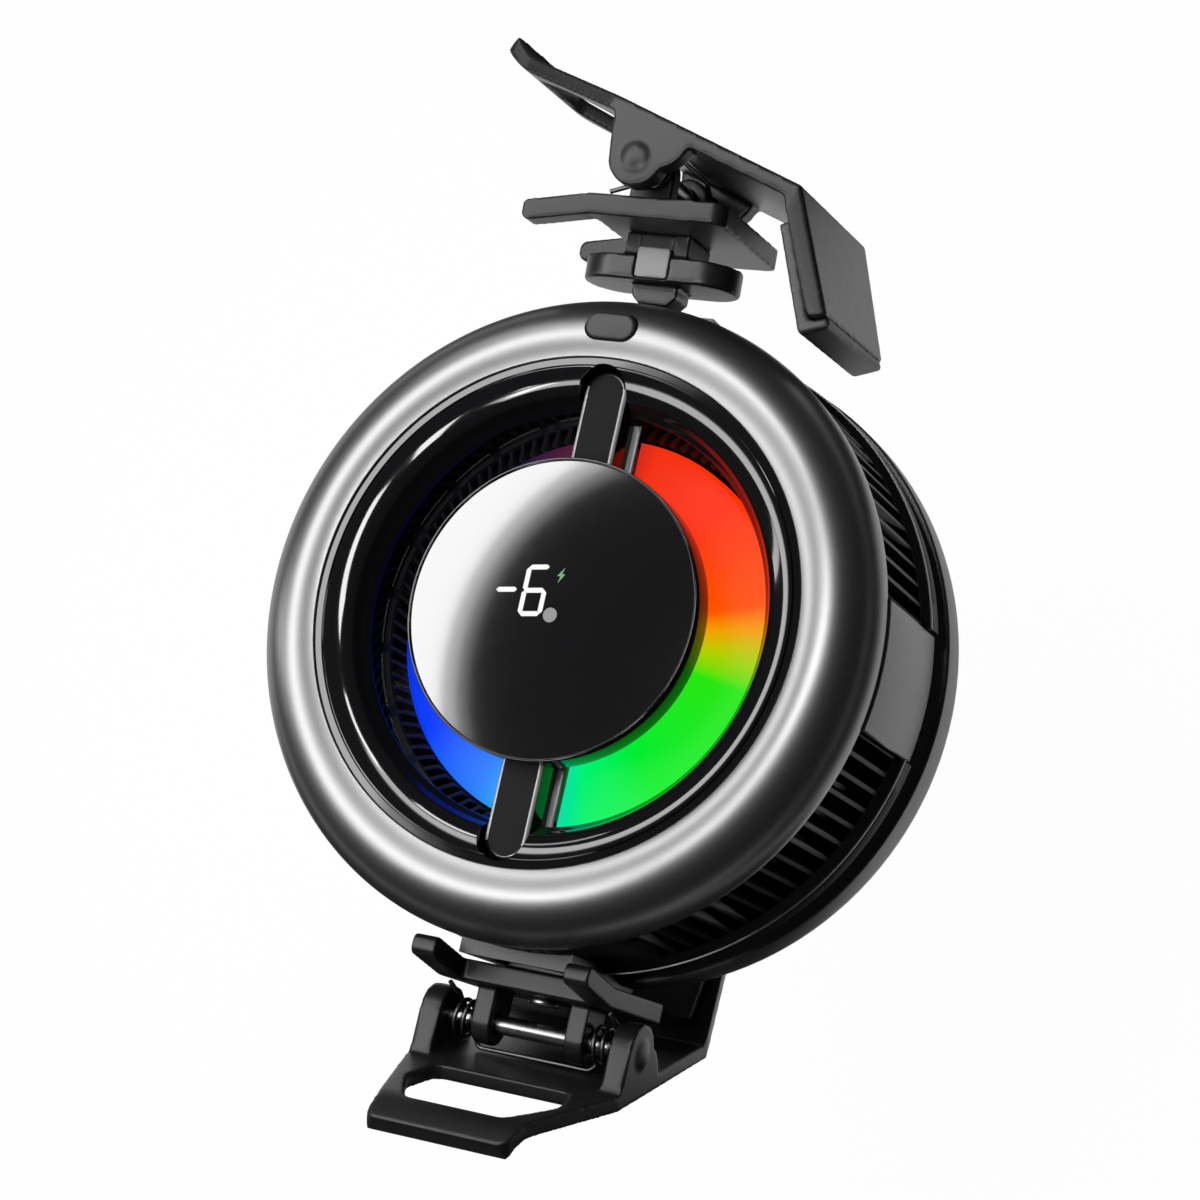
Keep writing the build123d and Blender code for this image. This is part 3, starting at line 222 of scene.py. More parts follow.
def turned_metal(name, colour, roughness):
    """Metal disc with the fine circles that a lathe leaves."""
    finish = Finish(name, Base_Color=(*colour, 1.0), Metallic=1.0)
    settings = {"wave_type": "RINGS", "rings_direction": "Z"}
    sockets = {"Vector": finish.place(), "Scale": LATHE_RINGS, "Distortion": 0.6, "Detail": 2.0}
    rings = finish.node("ShaderNodeTexWave", settings, sockets, "Fac")
    finish.feed("Roughness", rings * 0.12 + roughness)
    bump = {"Height": rings, "Strength": 0.08, "Distance": 0.00001}
    finish.feed("Normal", finish.node("ShaderNodeBump", {}, bump, "Normal"))
    FINISHES[name] = finish.material


plastic("bezel_black", (0.004, 0.004, 0.0044), 0.35, 0.03, 0.0, IOR=1.8, Specular_IOR_Level=0.95)
plastic("gloss_black", (0.003, 0.003, 0.0035), 0.07, 0.02, 0.0, IOR=1.5)
plastic("lens_black", (0.003, 0.003, 0.0035), 0.08, 0.02, 0.0, IOR=1.9)
# Light grey painted on rounded edges, upward faces and the bead of the black plastics: a painted
# highlight.
plastic("painted_highlight_grey", (0.16, 0.16, 0.165), 0.3, grain=0.0, IOR=1.8)
plastic("bar_black", (0.004, 0.004, 0.0044), 0.55, Specular_IOR_Level=0.06)
plastic("button_black", (0.012, 0.012, 0.0125), 0.45, grain=0.0, Specular_IOR_Level=0.3)
plastic("body_black", (0.004, 0.004, 0.0044), 0.36, Specular_IOR_Level=0.4)
plastic("vent_black", (0.003, 0.003, 0.0034), 0.5, grain=0.0, Specular_IOR_Level=0.15)
plastic("fan_black", (0.006, 0.006, 0.008), 0.4, grain=0.0)
plastic("panel_grey", (0.022, 0.022, 0.0225), 0.34, IOR=1.6)
plastic("rear_grey", (0.02, 0.02, 0.0205), 0.4, Specular_IOR_Level=0.7)
plastic("clip_black", (0.006, 0.006, 0.0064), 0.38, Specular_IOR_Level=0.27)
plastic("catch_grey", (0.11, 0.11, 0.11), 0.45)
plastic("rubber", (0.008, 0.008, 0.008), 0.5, grain=0.3)
plastic("silicone", (0.02, 0.02, 0.02), 0.55, grain=0.2)
plastic("board_green", (0.015, 0.09, 0.04), 0.45)
plastic("ceramic", (0.75, 0.75, 0.72), 0.5)
metal("steel", (0.4, 0.4, 0.4), 0.3)
metal("pin_steel", (0.22, 0.22, 0.22), 0.28)
# Darker copy of steel for the spring coils: painted shade.
metal("painted_shade_steel", (0.08, 0.08, 0.08), 0.35)
metal("sink_black", (0.05, 0.05, 0.055), 0.4)
metal("magnet", (0.18, 0.18, 0.19), 0.5)
metal("brass", (0.8, 0.62, 0.32), 0.28)
turned_metal("aluminium", (0.82, 0.82, 0.83), 0.2)
print("made", len(FINISHES), "finishes")

# %% [markdown]
# ## The coloured light ring
# Small lamps of many colours shine into one milky ring, so the colour runs smoothly round the
# circle: red at the upper right, then orange, yellow and green, blue at the lower left and almost
# dark at the upper left. The finish takes the angle round the Z axis from the piece's own
# coordinates and looks the colour up in a ramp. The signs of the display are plain glows.

# %% Make the light of the ring
RAINBOW = [
    (-180, (0.01, 0.006, 0.09)),
    (-166, (0.0, 0.03, 0.75)),
    (-140, (0.0, 0.045, 1.0)),
    (-116, (0.02, 0.2, 1.0)),
    (-98, (0.01, 0.5, 0.75)),
    (-78, (0.0, 0.9, 0.16)),
    (-55, (0.0, 0.85, 0.03)),
    (-12, (0.02, 0.8, 0.005)),
    (0, (0.5, 0.6, 0.0)),
    (8, (0.9, 0.35, 0.0)),
    (16, (1.0, 0.09, 0.0)),
    (50, (1.0, 0.03, 0.0)),
    (80, (0.9, 0.03, 0.005)),
    (98, (0.12, 0.01, 0.03)),
    (125, (0.012, 0.008, 0.05)),
    (180, (0.01, 0.006, 0.09)),
]


def glowing(name, colour):
    """Plastic that gives off light of its own."""
    finish = Finish(name, Base_Color=(0.0, 0.0, 0.0, 1.0), Roughness=0.5)
    finish.shader.inputs["Emission Color"].default_value = (*colour, 1.0)
    finish.shader.inputs["Emission Strength"].default_value = 1.0
    FINISHES[name] = finish.material
    return finish


ring_finish = glowing("light_guide", (1.0, 1.0, 1.0))
ring_finish.shader.inputs["Specular IOR Level"].default_value = 0.1
across = ring_finish.node("ShaderNodeSeparateXYZ", {}, {0: ring_finish.place()}, "X")
upward = Signal(ring_finish, across.socket.node.outputs["Y"])
angle = ring_finish.node("ShaderNodeMath", {"operation": "ARCTAN2"}, {0: upward, 1: across})
stops = [((turn + 180) / 360, colour) for turn, colour in RAINBOW]
share = angle / (2 * pi) + 0.5
rainbow = ring_finish.node("ShaderNodeValToRGB", {"stops": stops}, {0: share}, "Color")
ring_finish.feed("Emission Color", rainbow)
glowing("sign_white", (0.85, 0.85, 0.86))
glowing("sign_grey", (0.2, 0.2, 0.2))
glowing("sign_green", (0.1, 0.3, 0.1))
print("the light ring has", len(stops), "colours")

# %% [markdown]
# ## From a bmesh to a piece
# A piece is shaped in millimetres, like the drawing, and scaled to metres in its mesh, so its
# object stays at the origin. It gets a smooth surface with sharp edges where two faces meet
# steeply, the material of its slot in the record unless another finish is named, and the CAD body
# that it rides on.

# %% Finish a piece
WELD = 0.0005
SHARP = radians(32)


def paint(mesh, *finishes):
    """Gives a mesh its materials; the first one is for every face that asks for no other."""
    mesh.materials.clear()
    for finish in finishes:
        mesh.materials.append(FINISHES[finish])


def dress(mesh, name, slot, body, nodes, finish=None):
    """Turns a finished mesh into a piece of the object."""
    mesh.shade_smooth()
    mesh.set_sharp_from_angle(angle=SHARP)
    piece = bpy.data.objects.new(name, mesh)
    bpy.context.scene.collection.objects.link(piece)
    paint(mesh, finish or slot)
    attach(piece, body)
    if nodes:
        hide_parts(*nodes)
    print("made", name, "with", len(mesh.polygons), "faces")
    return piece


def to_mesh(bm, name, place=None):
    """Welds a bmesh in millimetres and writes it as a mesh in metres, turned to its place."""
    bmesh.ops.remove_doubles(bm, verts=bm.verts, dist=WELD)
    if place is not None:
        bmesh.ops.transform(bm, matrix=place, verts=bm.verts)
    bmesh.ops.recalc_face_normals(bm, faces=bm.faces)
    bmesh.ops.scale(bm, vec=(MM, MM, MM), verts=bm.verts)
    mesh = bpy.data.meshes.new(name)
    bm.to_mesh(mesh)
    bm.free()
    return mesh


def carried_over(node, slot, body):
    """Copies a CAD node and welds its loose triangles, for a smooth surface."""
    bm = bmesh.new()
    bm.from_mesh(frame["nodes"][node].data)
    bmesh.ops.remove_doubles(bm, verts=bm.verts, dist=WELD * MM)
    mesh = bpy.data.meshes.new(node + "_skin")
    bm.to_mesh(mesh)
    bm.free()
    return dress(mesh, node + "_skin", slot, body, [node])


def evaluated_mesh(piece):
    """Mesh of a piece with its modifiers applied."""
    bpy.context.view_layer.update()
    evaluated = piece.evaluated_get(bpy.context.evaluated_depsgraph_get())
    return bpy.data.meshes.new_from_object(evaluated)


def softened(piece, grid, rounds):
    """Rebuilds a piece on a fine even grid and rounds its edges, as a mould does."""
    remesh = piece.modifiers.new("even_grid", "REMESH")
    remesh.mode = "VOXEL"
    remesh.voxel_size = grid * MM
    smooth = piece.modifiers.new("round_edges", "SMOOTH")
    smooth.factor = 0.5
    smooth.iterations = rounds
    mesh = evaluated_mesh(piece)
    piece.modifiers.clear()
    piece.data = mesh
    mesh.shade_smooth()
    print("softened", piece.name, "to", len(mesh.polygons), "faces")


# %% [markdown]
# ## Round pieces by spinning
# A lathe gives the bezel, the lip, the drum and the window their shape. The same is done here: a
# section is drawn as a flat outline, its corners are rounded with a vertex bevel, and the outline
# is spun round the Z axis. A full spin joins its last step to its first one.

# %% Spin a section
RING_STEPS = 192
CORNER_STEPS = 4
PILL_STEPS = 12
EDGE_STEPS = 5


def bow(start, end, rise, steps):
    """Points of a circular arc between two points, bulging to the left of the way by a rise."""
    chord = hypot(end[0] - start[0], end[1] - start[1])
    radius = (chord**2 / 4 + rise**2) / (2 * rise)
    half = asin(chord / 2 / radius)
    along = ((end[0] - start[0]) / chord, (end[1] - start[1]) / chord)
    left = (-along[1], along[0])
    points = []
    for k in range(steps + 1):
        turn = half * (2 * k / steps - 1)
        forth = chord / 2 + radius * sin(turn)
        side = radius * (cos(turn) - cos(half))
        across = start[0] + along[0] * forth + left[0] * side
        upward = start[1] + along[1] * forth + left[1] * side
        points.append((across, upward))
    return points


def arc(centre, radius, start, end, steps):
    """Points of an arc round a centre, from one angle to another, in degrees."""
    turns = [radians(start + (end - start) * k / steps) for k in range(steps + 1)]
    return [(centre[0] + radius * cos(t), centre[1] + radius * sin(t)) for t in turns]


def rounded(bm, geom, size, affect, steps, clamped=False):
    """Rounds corners (VERTICES) or edges (EDGES) of a bmesh."""
    bmesh.ops.bevel(
        bm,
        geom=geom,
        offset=size,
        offset_type="OFFSET",
        affect=affect,
        segments=steps,
        profile=0.5,
        material=-1,
        clamp_overlap=clamped,
    )


def outline(points, rounds=None):
    """Flat face in the XZ plane; rounds gives some corners, by number, a soft bevel."""
    bm = bmesh.new()
    corners = [bm.verts.new((x, 0.0, z)) for x, z in points]
    bm.faces.new(corners)
    for corner, size in (rounds or {}).items():
        rounded(bm, [corners[corner]], size, "VERTICES", CORNER_STEPS)
    return bm


def spun(points, rounds=None):
    """Spins an outline round the Z axis into a closed ring."""
    bm = outline(points, rounds)
    bmesh.ops.delete(bm, geom=bm.faces[:], context="FACES_ONLY")
    bmesh.ops.spin(
        bm,
        geom=bm.verts[:] + bm.edges[:],
        cent=(0, 0, 0),
        axis=(0, 0, 1),
        angle=2 * pi,
        steps=RING_STEPS,
        use_merge=True,
    )
    return bm


def extruded(bm, way):
    """Extrudes all faces of a bmesh along a way, and returns the corners at the far end."""
    raised = bmesh.ops.extrude_face_region(bm, geom=bm.faces[:])["geom"]
    far = [v for v in raised if isinstance(v, bmesh.types.BMVert)]
    bmesh.ops.translate(bm, vec=way, verts=far)
    return far


def cuboid(size, centre):
    """Upright box of a size round a centre."""
    bm = bmesh.new()
    bmesh.ops.create_cube(bm, size=1.0)
    spot = Matrix.Translation(centre) @ Matrix.Diagonal((*size, 1))
    bmesh.ops.transform(bm, matrix=spot, verts=bm.verts)
    return bm


def cut(piece, *cutters):
    """Takes the shapes of other meshes out of a piece's mesh, and removes them."""
    for cutter in cutters:
        tool = bpy.data.objects.new("cutter", cutter)
        bpy.context.scene.collection.objects.link(tool)
        step = piece.modifiers.new("cut", "BOOLEAN")
        step.operation = "DIFFERENCE"
        step.solver = "EXACT"
        step.object = tool
        result = evaluated_mesh(piece)
        piece.modifiers.remove(step)
        piece.data = result
        bpy.data.objects.remove(tool)
    piece.data.shade_smooth()
    piece.data.set_sharp_from_angle(angle=SHARP)


def pill(length, width, low, high, centre, turn=0.0, edge=0.0):
    """Upright prism with round ends, long side along X before it is turned."""
    bm = bmesh.new()
    base = bmesh.ops.create_grid(bm, x_segments=1, y_segments=1, size=0.5)["verts"]
    bmesh.ops.scale(bm, vec=(length, width, 1.0), verts=base)
    rounded(bm, bm.verts[:], width / 2 - WELD, "VERTICES", PILL_STEPS)
    bmesh.ops.remove_doubles(bm, verts=bm.verts, dist=10 * WELD)
    top = extruded(bm, (0, 0, high - low))
    if edge:
        rim = [e for e in bm.edges if all(v in top for v in e.verts)]
        rounded(bm, rim, edge, "EDGES", EDGE_STEPS, clamped=True)
    spot = Matrix.Rotation(radians(turn), 4, "Z") @ Matrix.Translation((centre[0], centre[1], low))
    bmesh.ops.transform(bm, matrix=spot, verts=bm.verts)
    return bm


# %% [markdown]
# ## The front bezel
# The fattest piece of the cooler: a satin ring with an almost round section. The section runs from
# the foot on the side wall, over the crest and down to a thin straight edge at the inner ring. The
# hole for the power button is cut at the crest, at twelve o'clock.

# %% Spin the bezel
SECTION_LEVEL = 25.8
SECTION_RADIUS = BEZEL_TOP - SECTION_LEVEL
SECTION_CENTRE = (BEZEL_RADIUS - SECTION_RADIUS, SECTION_LEVEL)
BEZEL_WALL = 1.8
BEZEL_GAP = 0.05
OUTER_STEPS = 56
INNER_STEPS = 24
INNER_LEAD = 14
BUTTON_PLACE = (0.0, 29.2)
BUTTON_LENGTH = 5.5
BUTTON_WIDTH = 2.8
BUTTON_GAP = 0.15
CUT_OVER = 1.0

bezel_start = degrees(asin((BEZEL_REAR - SECTION_CENTRE[1]) / SECTION_RADIUS))
bezel_end = degrees(acos((MOUTH_RADIUS + BEZEL_GAP - SECTION_CENTRE[0]) / SECTION_RADIUS))
bezel_points = arc(SECTION_CENTRE, SECTION_RADIUS, bezel_start, bezel_end, OUTER_STEPS)
inner_start = bezel_end + INNER_LEAD
inner_radius = SECTION_RADIUS - BEZEL_WALL
bezel_points += arc(SECTION_CENTRE, inner_radius, inner_start, bezel_start, INNER_STEPS)
bezel_ring = spun(bezel_points, {0: 0.3, OUTER_STEPS: 0.1})
bezel = dress(to_mesh(bezel_ring, "bezel"), "bezel", "bezel_black", "root", ["front_bezel"])
button_hole = pill(
    BUTTON_LENGTH + 2 * BUTTON_GAP,
    BUTTON_WIDTH + 2 * BUTTON_GAP,
    BEZEL_REAR,
    BEZEL_TOP + CUT_OVER,
    BUTTON_PLACE,
)
cut(bezel, to_mesh(button_hole, "button_hole"))

# %% [markdown]
# ## The power button
# A pill that stands just proud of the bezel, with a soft edge all round.

# %% Make the button
BUTTON_FOOT = 28.4
BUTTON_EDGE = 0.4
key = pill(BUTTON_LENGTH, BUTTON_WIDTH, BUTTON_FOOT, BUTTON_TOP, BUTTON_PLACE, edge=BUTTON_EDGE)
dress(to_mesh(key, "button"), "button", "button_black", "button", ["power_button"])

# %% [markdown]
# ## The inner ring
# A polished funnel inside the bezel. Its lip is slightly convex, which is why the lamps show in it
# as thin bows. A fine groove runs round it, and two round notches take the ends of the bars.

# %% Spin the inner ring
GROOVE_RADIUS = 25.2
GROOVE = 0.25
LIP_EDGE = (22.4, 28.9)
LIP_START = (GROOVE_RADIUS - GROOVE / 2, MOUTH_TOP)
LIP_RISE = 0.24
LIP_STEPS = 16
FUNNEL = [
    (21.9, 27.8),
    (21.3, 26.9),
    (22.6, DUCT_LEVEL),
    (23.8, DUCT_LEVEL),
    (23.8, 28.2),
    (24.8, 28.5),
    (24.8, 25.6),
    (MOUTH_RADIUS, 25.6),
    (MOUTH_RADIUS, MOUTH_TOP),
    (GROOVE_RADIUS + GROOVE / 2, MOUTH_TOP),
    (GROOVE_RADIUS + GROOVE / 2, MOUTH_TOP - GROOVE),
    (GROOVE_RADIUS - GROOVE / 2, MOUTH_TOP - GROOVE),
]
LIP_ROUNDS = {LIP_STEPS: 0.25, LIP_STEPS + 1: 0.1, LIP_STEPS + 2: 0.12}
NOTCH_REACH = 25.5
NOTCH_GAP = 0.3

lip = bow(LIP_EDGE, LIP_START, LIP_RISE, LIP_STEPS)[::-1]
funnel_mesh = to_mesh(spun(lip + FUNNEL, LIP_ROUNDS), "inner_ring")
inner_ring = dress(funnel_mesh, "inlet_ring", "gloss_black", "root", ["inner_ring"])
notch_width = 2 * (BAR_HALF_WIDTH + NOTCH_GAP)
for turn in (90, 270):
    notch = pill(
        NOTCH_REACH, notch_width, BAR_FOOT, MOUTH_TOP + CUT_OVER, (NOTCH_REACH / 2, 0), turn
    )
    cut(inner_ring, to_mesh(notch, "notch"))

# %% [markdown]
# ## The display drum, its column and the bars
# The display stands in the middle of the inlet on a hollow column, and two flat bars hold it. The
# drum's wall catches a thin line of light at its rim, so that edge is rounded. The bars are matt on
# top, and their rounded long edges are painted light grey, a painted highlight. Under each bar runs
# a wider flange, whose upward faces get the same painted highlight.

# %% Spin the drum and its column
DRUM_REAR = 26.9
DRUM_TOP = 30.4
DRUM_EDGE = 0.3
DRUM_ROUNDS = {1: 0.3, 2: 0.12, 3: 0.08}
COLUMN_RADIUS = 11.6
COLUMN_BORE = COLUMN_RADIUS - 1.6
COLUMN_FOOT = 16.9
COLLAR_RADIUS = 13.5
COLLAR_TOP = 17.5
DRUM = [
    (0, DRUM_REAR),
    (DRUM_RADIUS, DRUM_REAR),
    (DRUM_RADIUS, DRUM_TOP),
    (DRUM_RADIUS - DRUM_EDGE, DRUM_TOP),
    (DRUM_RADIUS - DRUM_EDGE, LENS_REAR),
    (0, LENS_REAR),
]
COLUMN = [
    (COLUMN_BORE, DRUM_REAR),
    (COLUMN_BORE, COLUMN_FOOT),
    (COLLAR_RADIUS, COLUMN_FOOT),
    (COLLAR_RADIUS, COLLAR_TOP),
    (COLUMN_RADIUS, COLLAR_TOP),
    (COLUMN_RADIUS, DRUM_REAR),
]
BRIDGE = ["display_bridge"]
dress(to_mesh(spun(DRUM, DRUM_ROUNDS), "drum"), "drum", "gloss_black", "root", BRIDGE)
dress(to_mesh(spun(COLUMN), "column"), "column", "body_black", "root", BRIDGE)

# %% Lay the bars
BAR_TOP = 28.6
BAR_END = 25.2
BAR_EDGE = 0.4
WEB_FOOT = 24.0
WEB_END = 20.9
WEB_EDGE = 0.05
FLANGE_TOP = 24.9
FLANGE_HALF_WIDTH = 3.0
FLANGE_EDGE = 0.25
BLOCK_STEPS = 4
OVERLAP = 0.1
FLAT = 0.99
SLOPING = 0.3
SIDEWAYS = 0.1
# Radius beyond which the long edges of a bar get no painted highlight
PAINTED_HIGHLIGHT_END = 23.5
FLANGE_SLOPING = 0.2


def block(low, high, half, start, end, turn, edge):
    """Bar from one radius to another with its top edges rounded, turned round the Z axis."""
    bm = cuboid((end - start, 2 * half, high - low), ((start + end) / 2, 0, (low + high) / 2))
    top = [e for e in bm.edges if all(v.co.z > high - WELD for v in e.verts)]
    rounded(bm, top, edge, "EDGES", BLOCK_STEPS)
    bmesh.ops.transform(bm, matrix=Matrix.Rotation(radians(turn), 4, "Z"), verts=bm.verts)
    return bm


def bar_finish(face):
    """Number of a bar face's finish: matt on top, a painted highlight along the long edges, else
    polished.
    """
    if face.normal.z > FLAT:
        return 1
    on_long_edge = face.normal.z > SLOPING and abs(face.normal.x) > SIDEWAYS
    return 2 if on_long_edge and abs(face.center.y) < PAINTED_HIGHLIGHT_END * MM else 0


start = COLUMN_RADIUS
middle = ((BAR_END + start) / 2, 0)
for name, turn in (("bar_top", 90), ("bar_bottom", 270)):
    tongue = pill(BAR_END - start, 2 * BAR_HALF_WIDTH, BAR_FOOT, BAR_TOP, middle, turn, BAR_EDGE)
    tongue = dress(to_mesh(tongue, name), name, "gloss_black", "root", BRIDGE)
    # The long rounded edges of each bar are painted light grey: a painted highlight.
    paint(tongue.data, "gloss_black", "bar_black", "painted_highlight_grey")
    for face in tongue.data.polygons:
        face.material_index = bar_finish(face)
    web_half = BAR_HALF_WIDTH - OVERLAP
    web = block(WEB_FOOT, BAR_FOOT + OVERLAP, web_half, start, WEB_END, turn, WEB_EDGE)
    web_name = name + "_web"
    dress(to_mesh(web, web_name), web_name, "gloss_black", "root", BRIDGE)
    flange = block(WEB_FOOT, FLANGE_TOP, FLANGE_HALF_WIDTH, start, WEB_END, turn, FLANGE_EDGE)
    flange_name = name + "_flange"
    flange = dress(to_mesh(flange, flange_name), flange_name, "gloss_black", "root", BRIDGE)
    # Every face of the flange that looks upward is painted light grey: a painted highlight.
    paint(flange.data, "gloss_black", "painted_highlight_grey")
    for face in flange.data.polygons:
        face.material_index = int(face.normal.z > FLANGE_SLOPING)

# %% [markdown]
# ## The window
# A very slight dome, which is enough to bend the reflection of the softbox.

# %% Spin the window
WINDOW_RISE = 0.4
WINDOW_STEPS = 48
rim = LENS_TOP - WINDOW_RISE
dome = bow((-LENS_RADIUS, rim), (LENS_RADIUS, rim), WINDOW_RISE, WINDOW_STEPS)
lens_points = [(0, LENS_REAR), (LENS_RADIUS, LENS_REAR)] + dome[WINDOW_STEPS // 2 :][::-1]
dress(to_mesh(spun(lens_points), "window"), "window", "lens_black", "root", ["display_lens"])

# %% [markdown]
# ## The lit signs
# The display shows a minus sign and a digit made of straight strokes, a small bolt and a dot. Each
# stroke is a thin bar that lies on the window.

# %% Draw the signs
SIGN_SLANT = radians(7.6)
SIGN_ACROSS = Vector((cos(SIGN_SLANT), sin(SIGN_SLANT)))
SIGN_LEVEL = LENS_TOP - 0.01
SIGN_HEIGHT = 0.02
DIGIT = Vector((-2.95, -1.05))
DIGIT_WIDTH = 2.15
DIGIT_HEIGHT = 2.4
STROKE = 0.5
STROKES = [
    ((0, 0), (1, 0)),
    ((0, 1), (1, 1)),
    ((0, 2), (1, 2)),
    ((0, 0), (0, 1)),
    ((0, 1), (0, 2)),
    ((1, 0), (1, 1)),
    ((-1.45, 1.05), (-0.4, 1.05)),
]
BOLT_PLACE = Vector((0.62, 3.35))
BOLT = [(0.28, 0.85), (-0.42, -0.12), (-0.06, -0.12), (-0.22, -0.85), (0.42, 0.14), (0.06, 0.14)]
DOT_PLACE = (0.35, -0.75)
DOT_RADIUS = 0.75


def digit_point(across, up):
    """Point of the digit, as shares of its width and of half its height."""
    return DIGIT + SIGN_ACROSS * DIGIT_WIDTH * across + Vector((0, DIGIT_HEIGHT)) * up


def stroke_shape(start, end, width):
    """Thin six-sided bar between two points of the display."""
    way = end - start
    length = way.length
    half = width / 2
    points = [
        (0, 0),
        (half, -half),
        (length - half, -half),
        (length, 0),
        (length - half, half),
        (half, half),
    ]
    bm = bmesh.new()
    bm.faces.new([bm.verts.new((x, y, 0.0)) for x, y in points])
    extruded(bm, (0, 0, SIGN_HEIGHT))
    spot = Matrix.Translation((*start, SIGN_LEVEL)) @ Matrix.Rotation(atan2(way.y, way.x), 4, "Z")
    bmesh.ops.transform(bm, matrix=spot, verts=bm.verts)
    return bm


def show(bm, name, finish):
    """Lays a lit sign on the window."""
    dress(to_mesh(bm, name), name, "lens_black", "root", [], finish=finish)


for number, (start, end) in enumerate(STROKES):
    stroke = stroke_shape(digit_point(*start), digit_point(*end), STROKE)
    show(stroke, f"sign_stroke_{number}", "sign_white")
bolt = bmesh.new()
bolt_corners = [(BOLT_PLACE.x + x, BOLT_PLACE.y + y, SIGN_LEVEL + SIGN_HEIGHT) for x, y in BOLT]
bolt.faces.new([bolt.verts.new(corner) for corner in bolt_corners])
show(bolt, "sign_bolt", "sign_green")
dot = bmesh.new()
bmesh.ops.create_circle(dot, cap_ends=True, segments=32, radius=DOT_RADIUS)
bmesh.ops.translate(dot, vec=(*DOT_PLACE, SIGN_LEVEL + SIGN_HEIGHT), verts=dot.verts)
show(dot, "sign_dot", "sign_grey")

# %% [markdown]
# ## The light ring
# A milky ring deep in the inlet, lit from behind.

# %% Spin the light ring
GUIDE_BORE = 11.8
guide_points = [
    (GUIDE_BORE, GUIDE_REAR),
    (GUIDE_RADIUS, GUIDE_REAR),
    (GUIDE_RADIUS, GUIDE_TOP),
    (GUIDE_BORE, GUIDE_TOP),
]
guide_mesh = to_mesh(spun(guide_points, {2: 0.5}), "light_ring")
dress(guide_mesh, "light_ring", "light_guide", "root", ["light_guide"])

# %% [markdown]
# ## The bead under the slots
# A thin raised line runs round the side wall just below the slots, except over the two panels. On
# the real cooler it is moulded with the wall. It is spun here, because its thin edge is all that
# the light picks out of the dark side, and it is painted light grey all over, a painted highlight
# for that edge.

# %% Spin the bead
VENT_RADIUS = BEZEL_RADIUS + 0.5
BEAD_SUNK = 0.4
BEAD_PROUD = 0.14
BEAD_LEVEL = 12.2
PANEL_HALF_WIDTH = 6.7
PANEL_GAP = (80.0, 2 * PANEL_HALF_WIDTH, 3.0)
BEAD = [
    (VENT_RADIUS - BEAD_SUNK, BEAD_LEVEL - 0.2),
    (VENT_RADIUS + BEAD_PROUD, BEAD_LEVEL - 0.1),
    (VENT_RADIUS + BEAD_PROUD, BEAD_LEVEL + 0.1),
    (VENT_RADIUS - BEAD_SUNK, BEAD_LEVEL + 0.2),
]
bead_mesh = to_mesh(spun(BEAD), "bead")
# The bead is painted light grey instead of black: a painted highlight.
bead = dress(bead_mesh, "bead", "body_black", "root", ["vent_housing"], finish="painted_highlight_grey")
cut(bead, to_mesh(cuboid(PANEL_GAP, (0, 0, BEAD_LEVEL)), "panel_gap"))

# %% [markdown]
# ## Pieces carried over from the CAD model
# The CAD shape of these is right as it is. A welded copy lets the light run smoothly over the
# curved faces.

# %% Carry pieces over
CARRIED = {
    "rear_cover": ("body_black", "root"),
    "vent_housing": ("body_black", "root"),
    "side_panel_right": ("panel_grey", "root"),
    "side_panel_left": ("panel_grey", "root"),
    "silicone_ring": ("silicone", "root"),
    "upper_socket": ("body_black", "root"),
    "lower_socket": ("body_black", "root"),
    "usb_port": ("steel", "root"),
    "fan_impeller": ("fan_black", "fan"),
    "cold_plate": ("aluminium", "root"),
}
CLIP_PIECES = {
    "clip_base": ("clip_black", "clip"),
    "clip_foot": ("clip_black", "clip"),
    "clip_catch": ("catch_grey", "clip"),
    "clip_screw": ("steel", "clip"),
    "spring": ("steel", "clip"),
    "lever": ("clip_black", "lever"),
    "jaw_pad": ("rubber", "lever"),
}
for side in ("lower", "upper"):
    for node, (slot, body) in CLIP_PIECES.items():
        CARRIED[f"{side}_{node}"] = (slot, f"{side}_{body}")
carried = {}
for node, (slot, body) in CARRIED.items():
    carried[node] = carried_over(node, slot, body)
paint(carried["rear_cover"].data, "rear_grey")
paint(carried["vent_housing"].data, "vent_black")

# %% [markdown]
# ## Soft edges on the clips
# The clips are moulded with round edges that catch the light. The lever's finger opening is wide
# and its arms run straight to the tip, so these are cut first. Each piece is then rebuilt on a fine
# grid and smoothed a little. A cutter is drawn on a seated clip, in the lever's own axes where it
# cuts the lever, and moved to where the clip is.

# %% Find the places of the clips
LEVER_ANGLE = radians(20.5)
PIN_OUT = 40.2
PIN_LEVEL = 11.6
SEAT = Matrix.Translation((0, 34.2, 11.0))
LIFT = Matrix.Translation((-1.27, 42.3, 18.73))
LEAN = Matrix.Rotation(radians(-87.25), 4, "Y") @ Matrix.Rotation(radians(0.6), 4, "X")
ROLL = Matrix.Rotation(radians(-5.34), 4, "Z")
CLIP_PLACES = {
    "lower": Matrix.Rotation(pi, 4, "Z"),
    "upper": LIFT @ LEAN @ ROLL @ SEAT.inverted(),
}
lever_axes = Matrix(
    (
        (0, 0, 1, 0),
        (sin(LEVER_ANGLE), cos(LEVER_ANGLE), 0, PIN_OUT),
        (cos(LEVER_ANGLE), -sin(LEVER_ANGLE), 0, PIN_LEVEL),
        (0, 0, 0, 1),
    )
)
print("the levers stand", round(degrees(LEVER_ANGLE), 1), "degrees off the axis of the cooler")

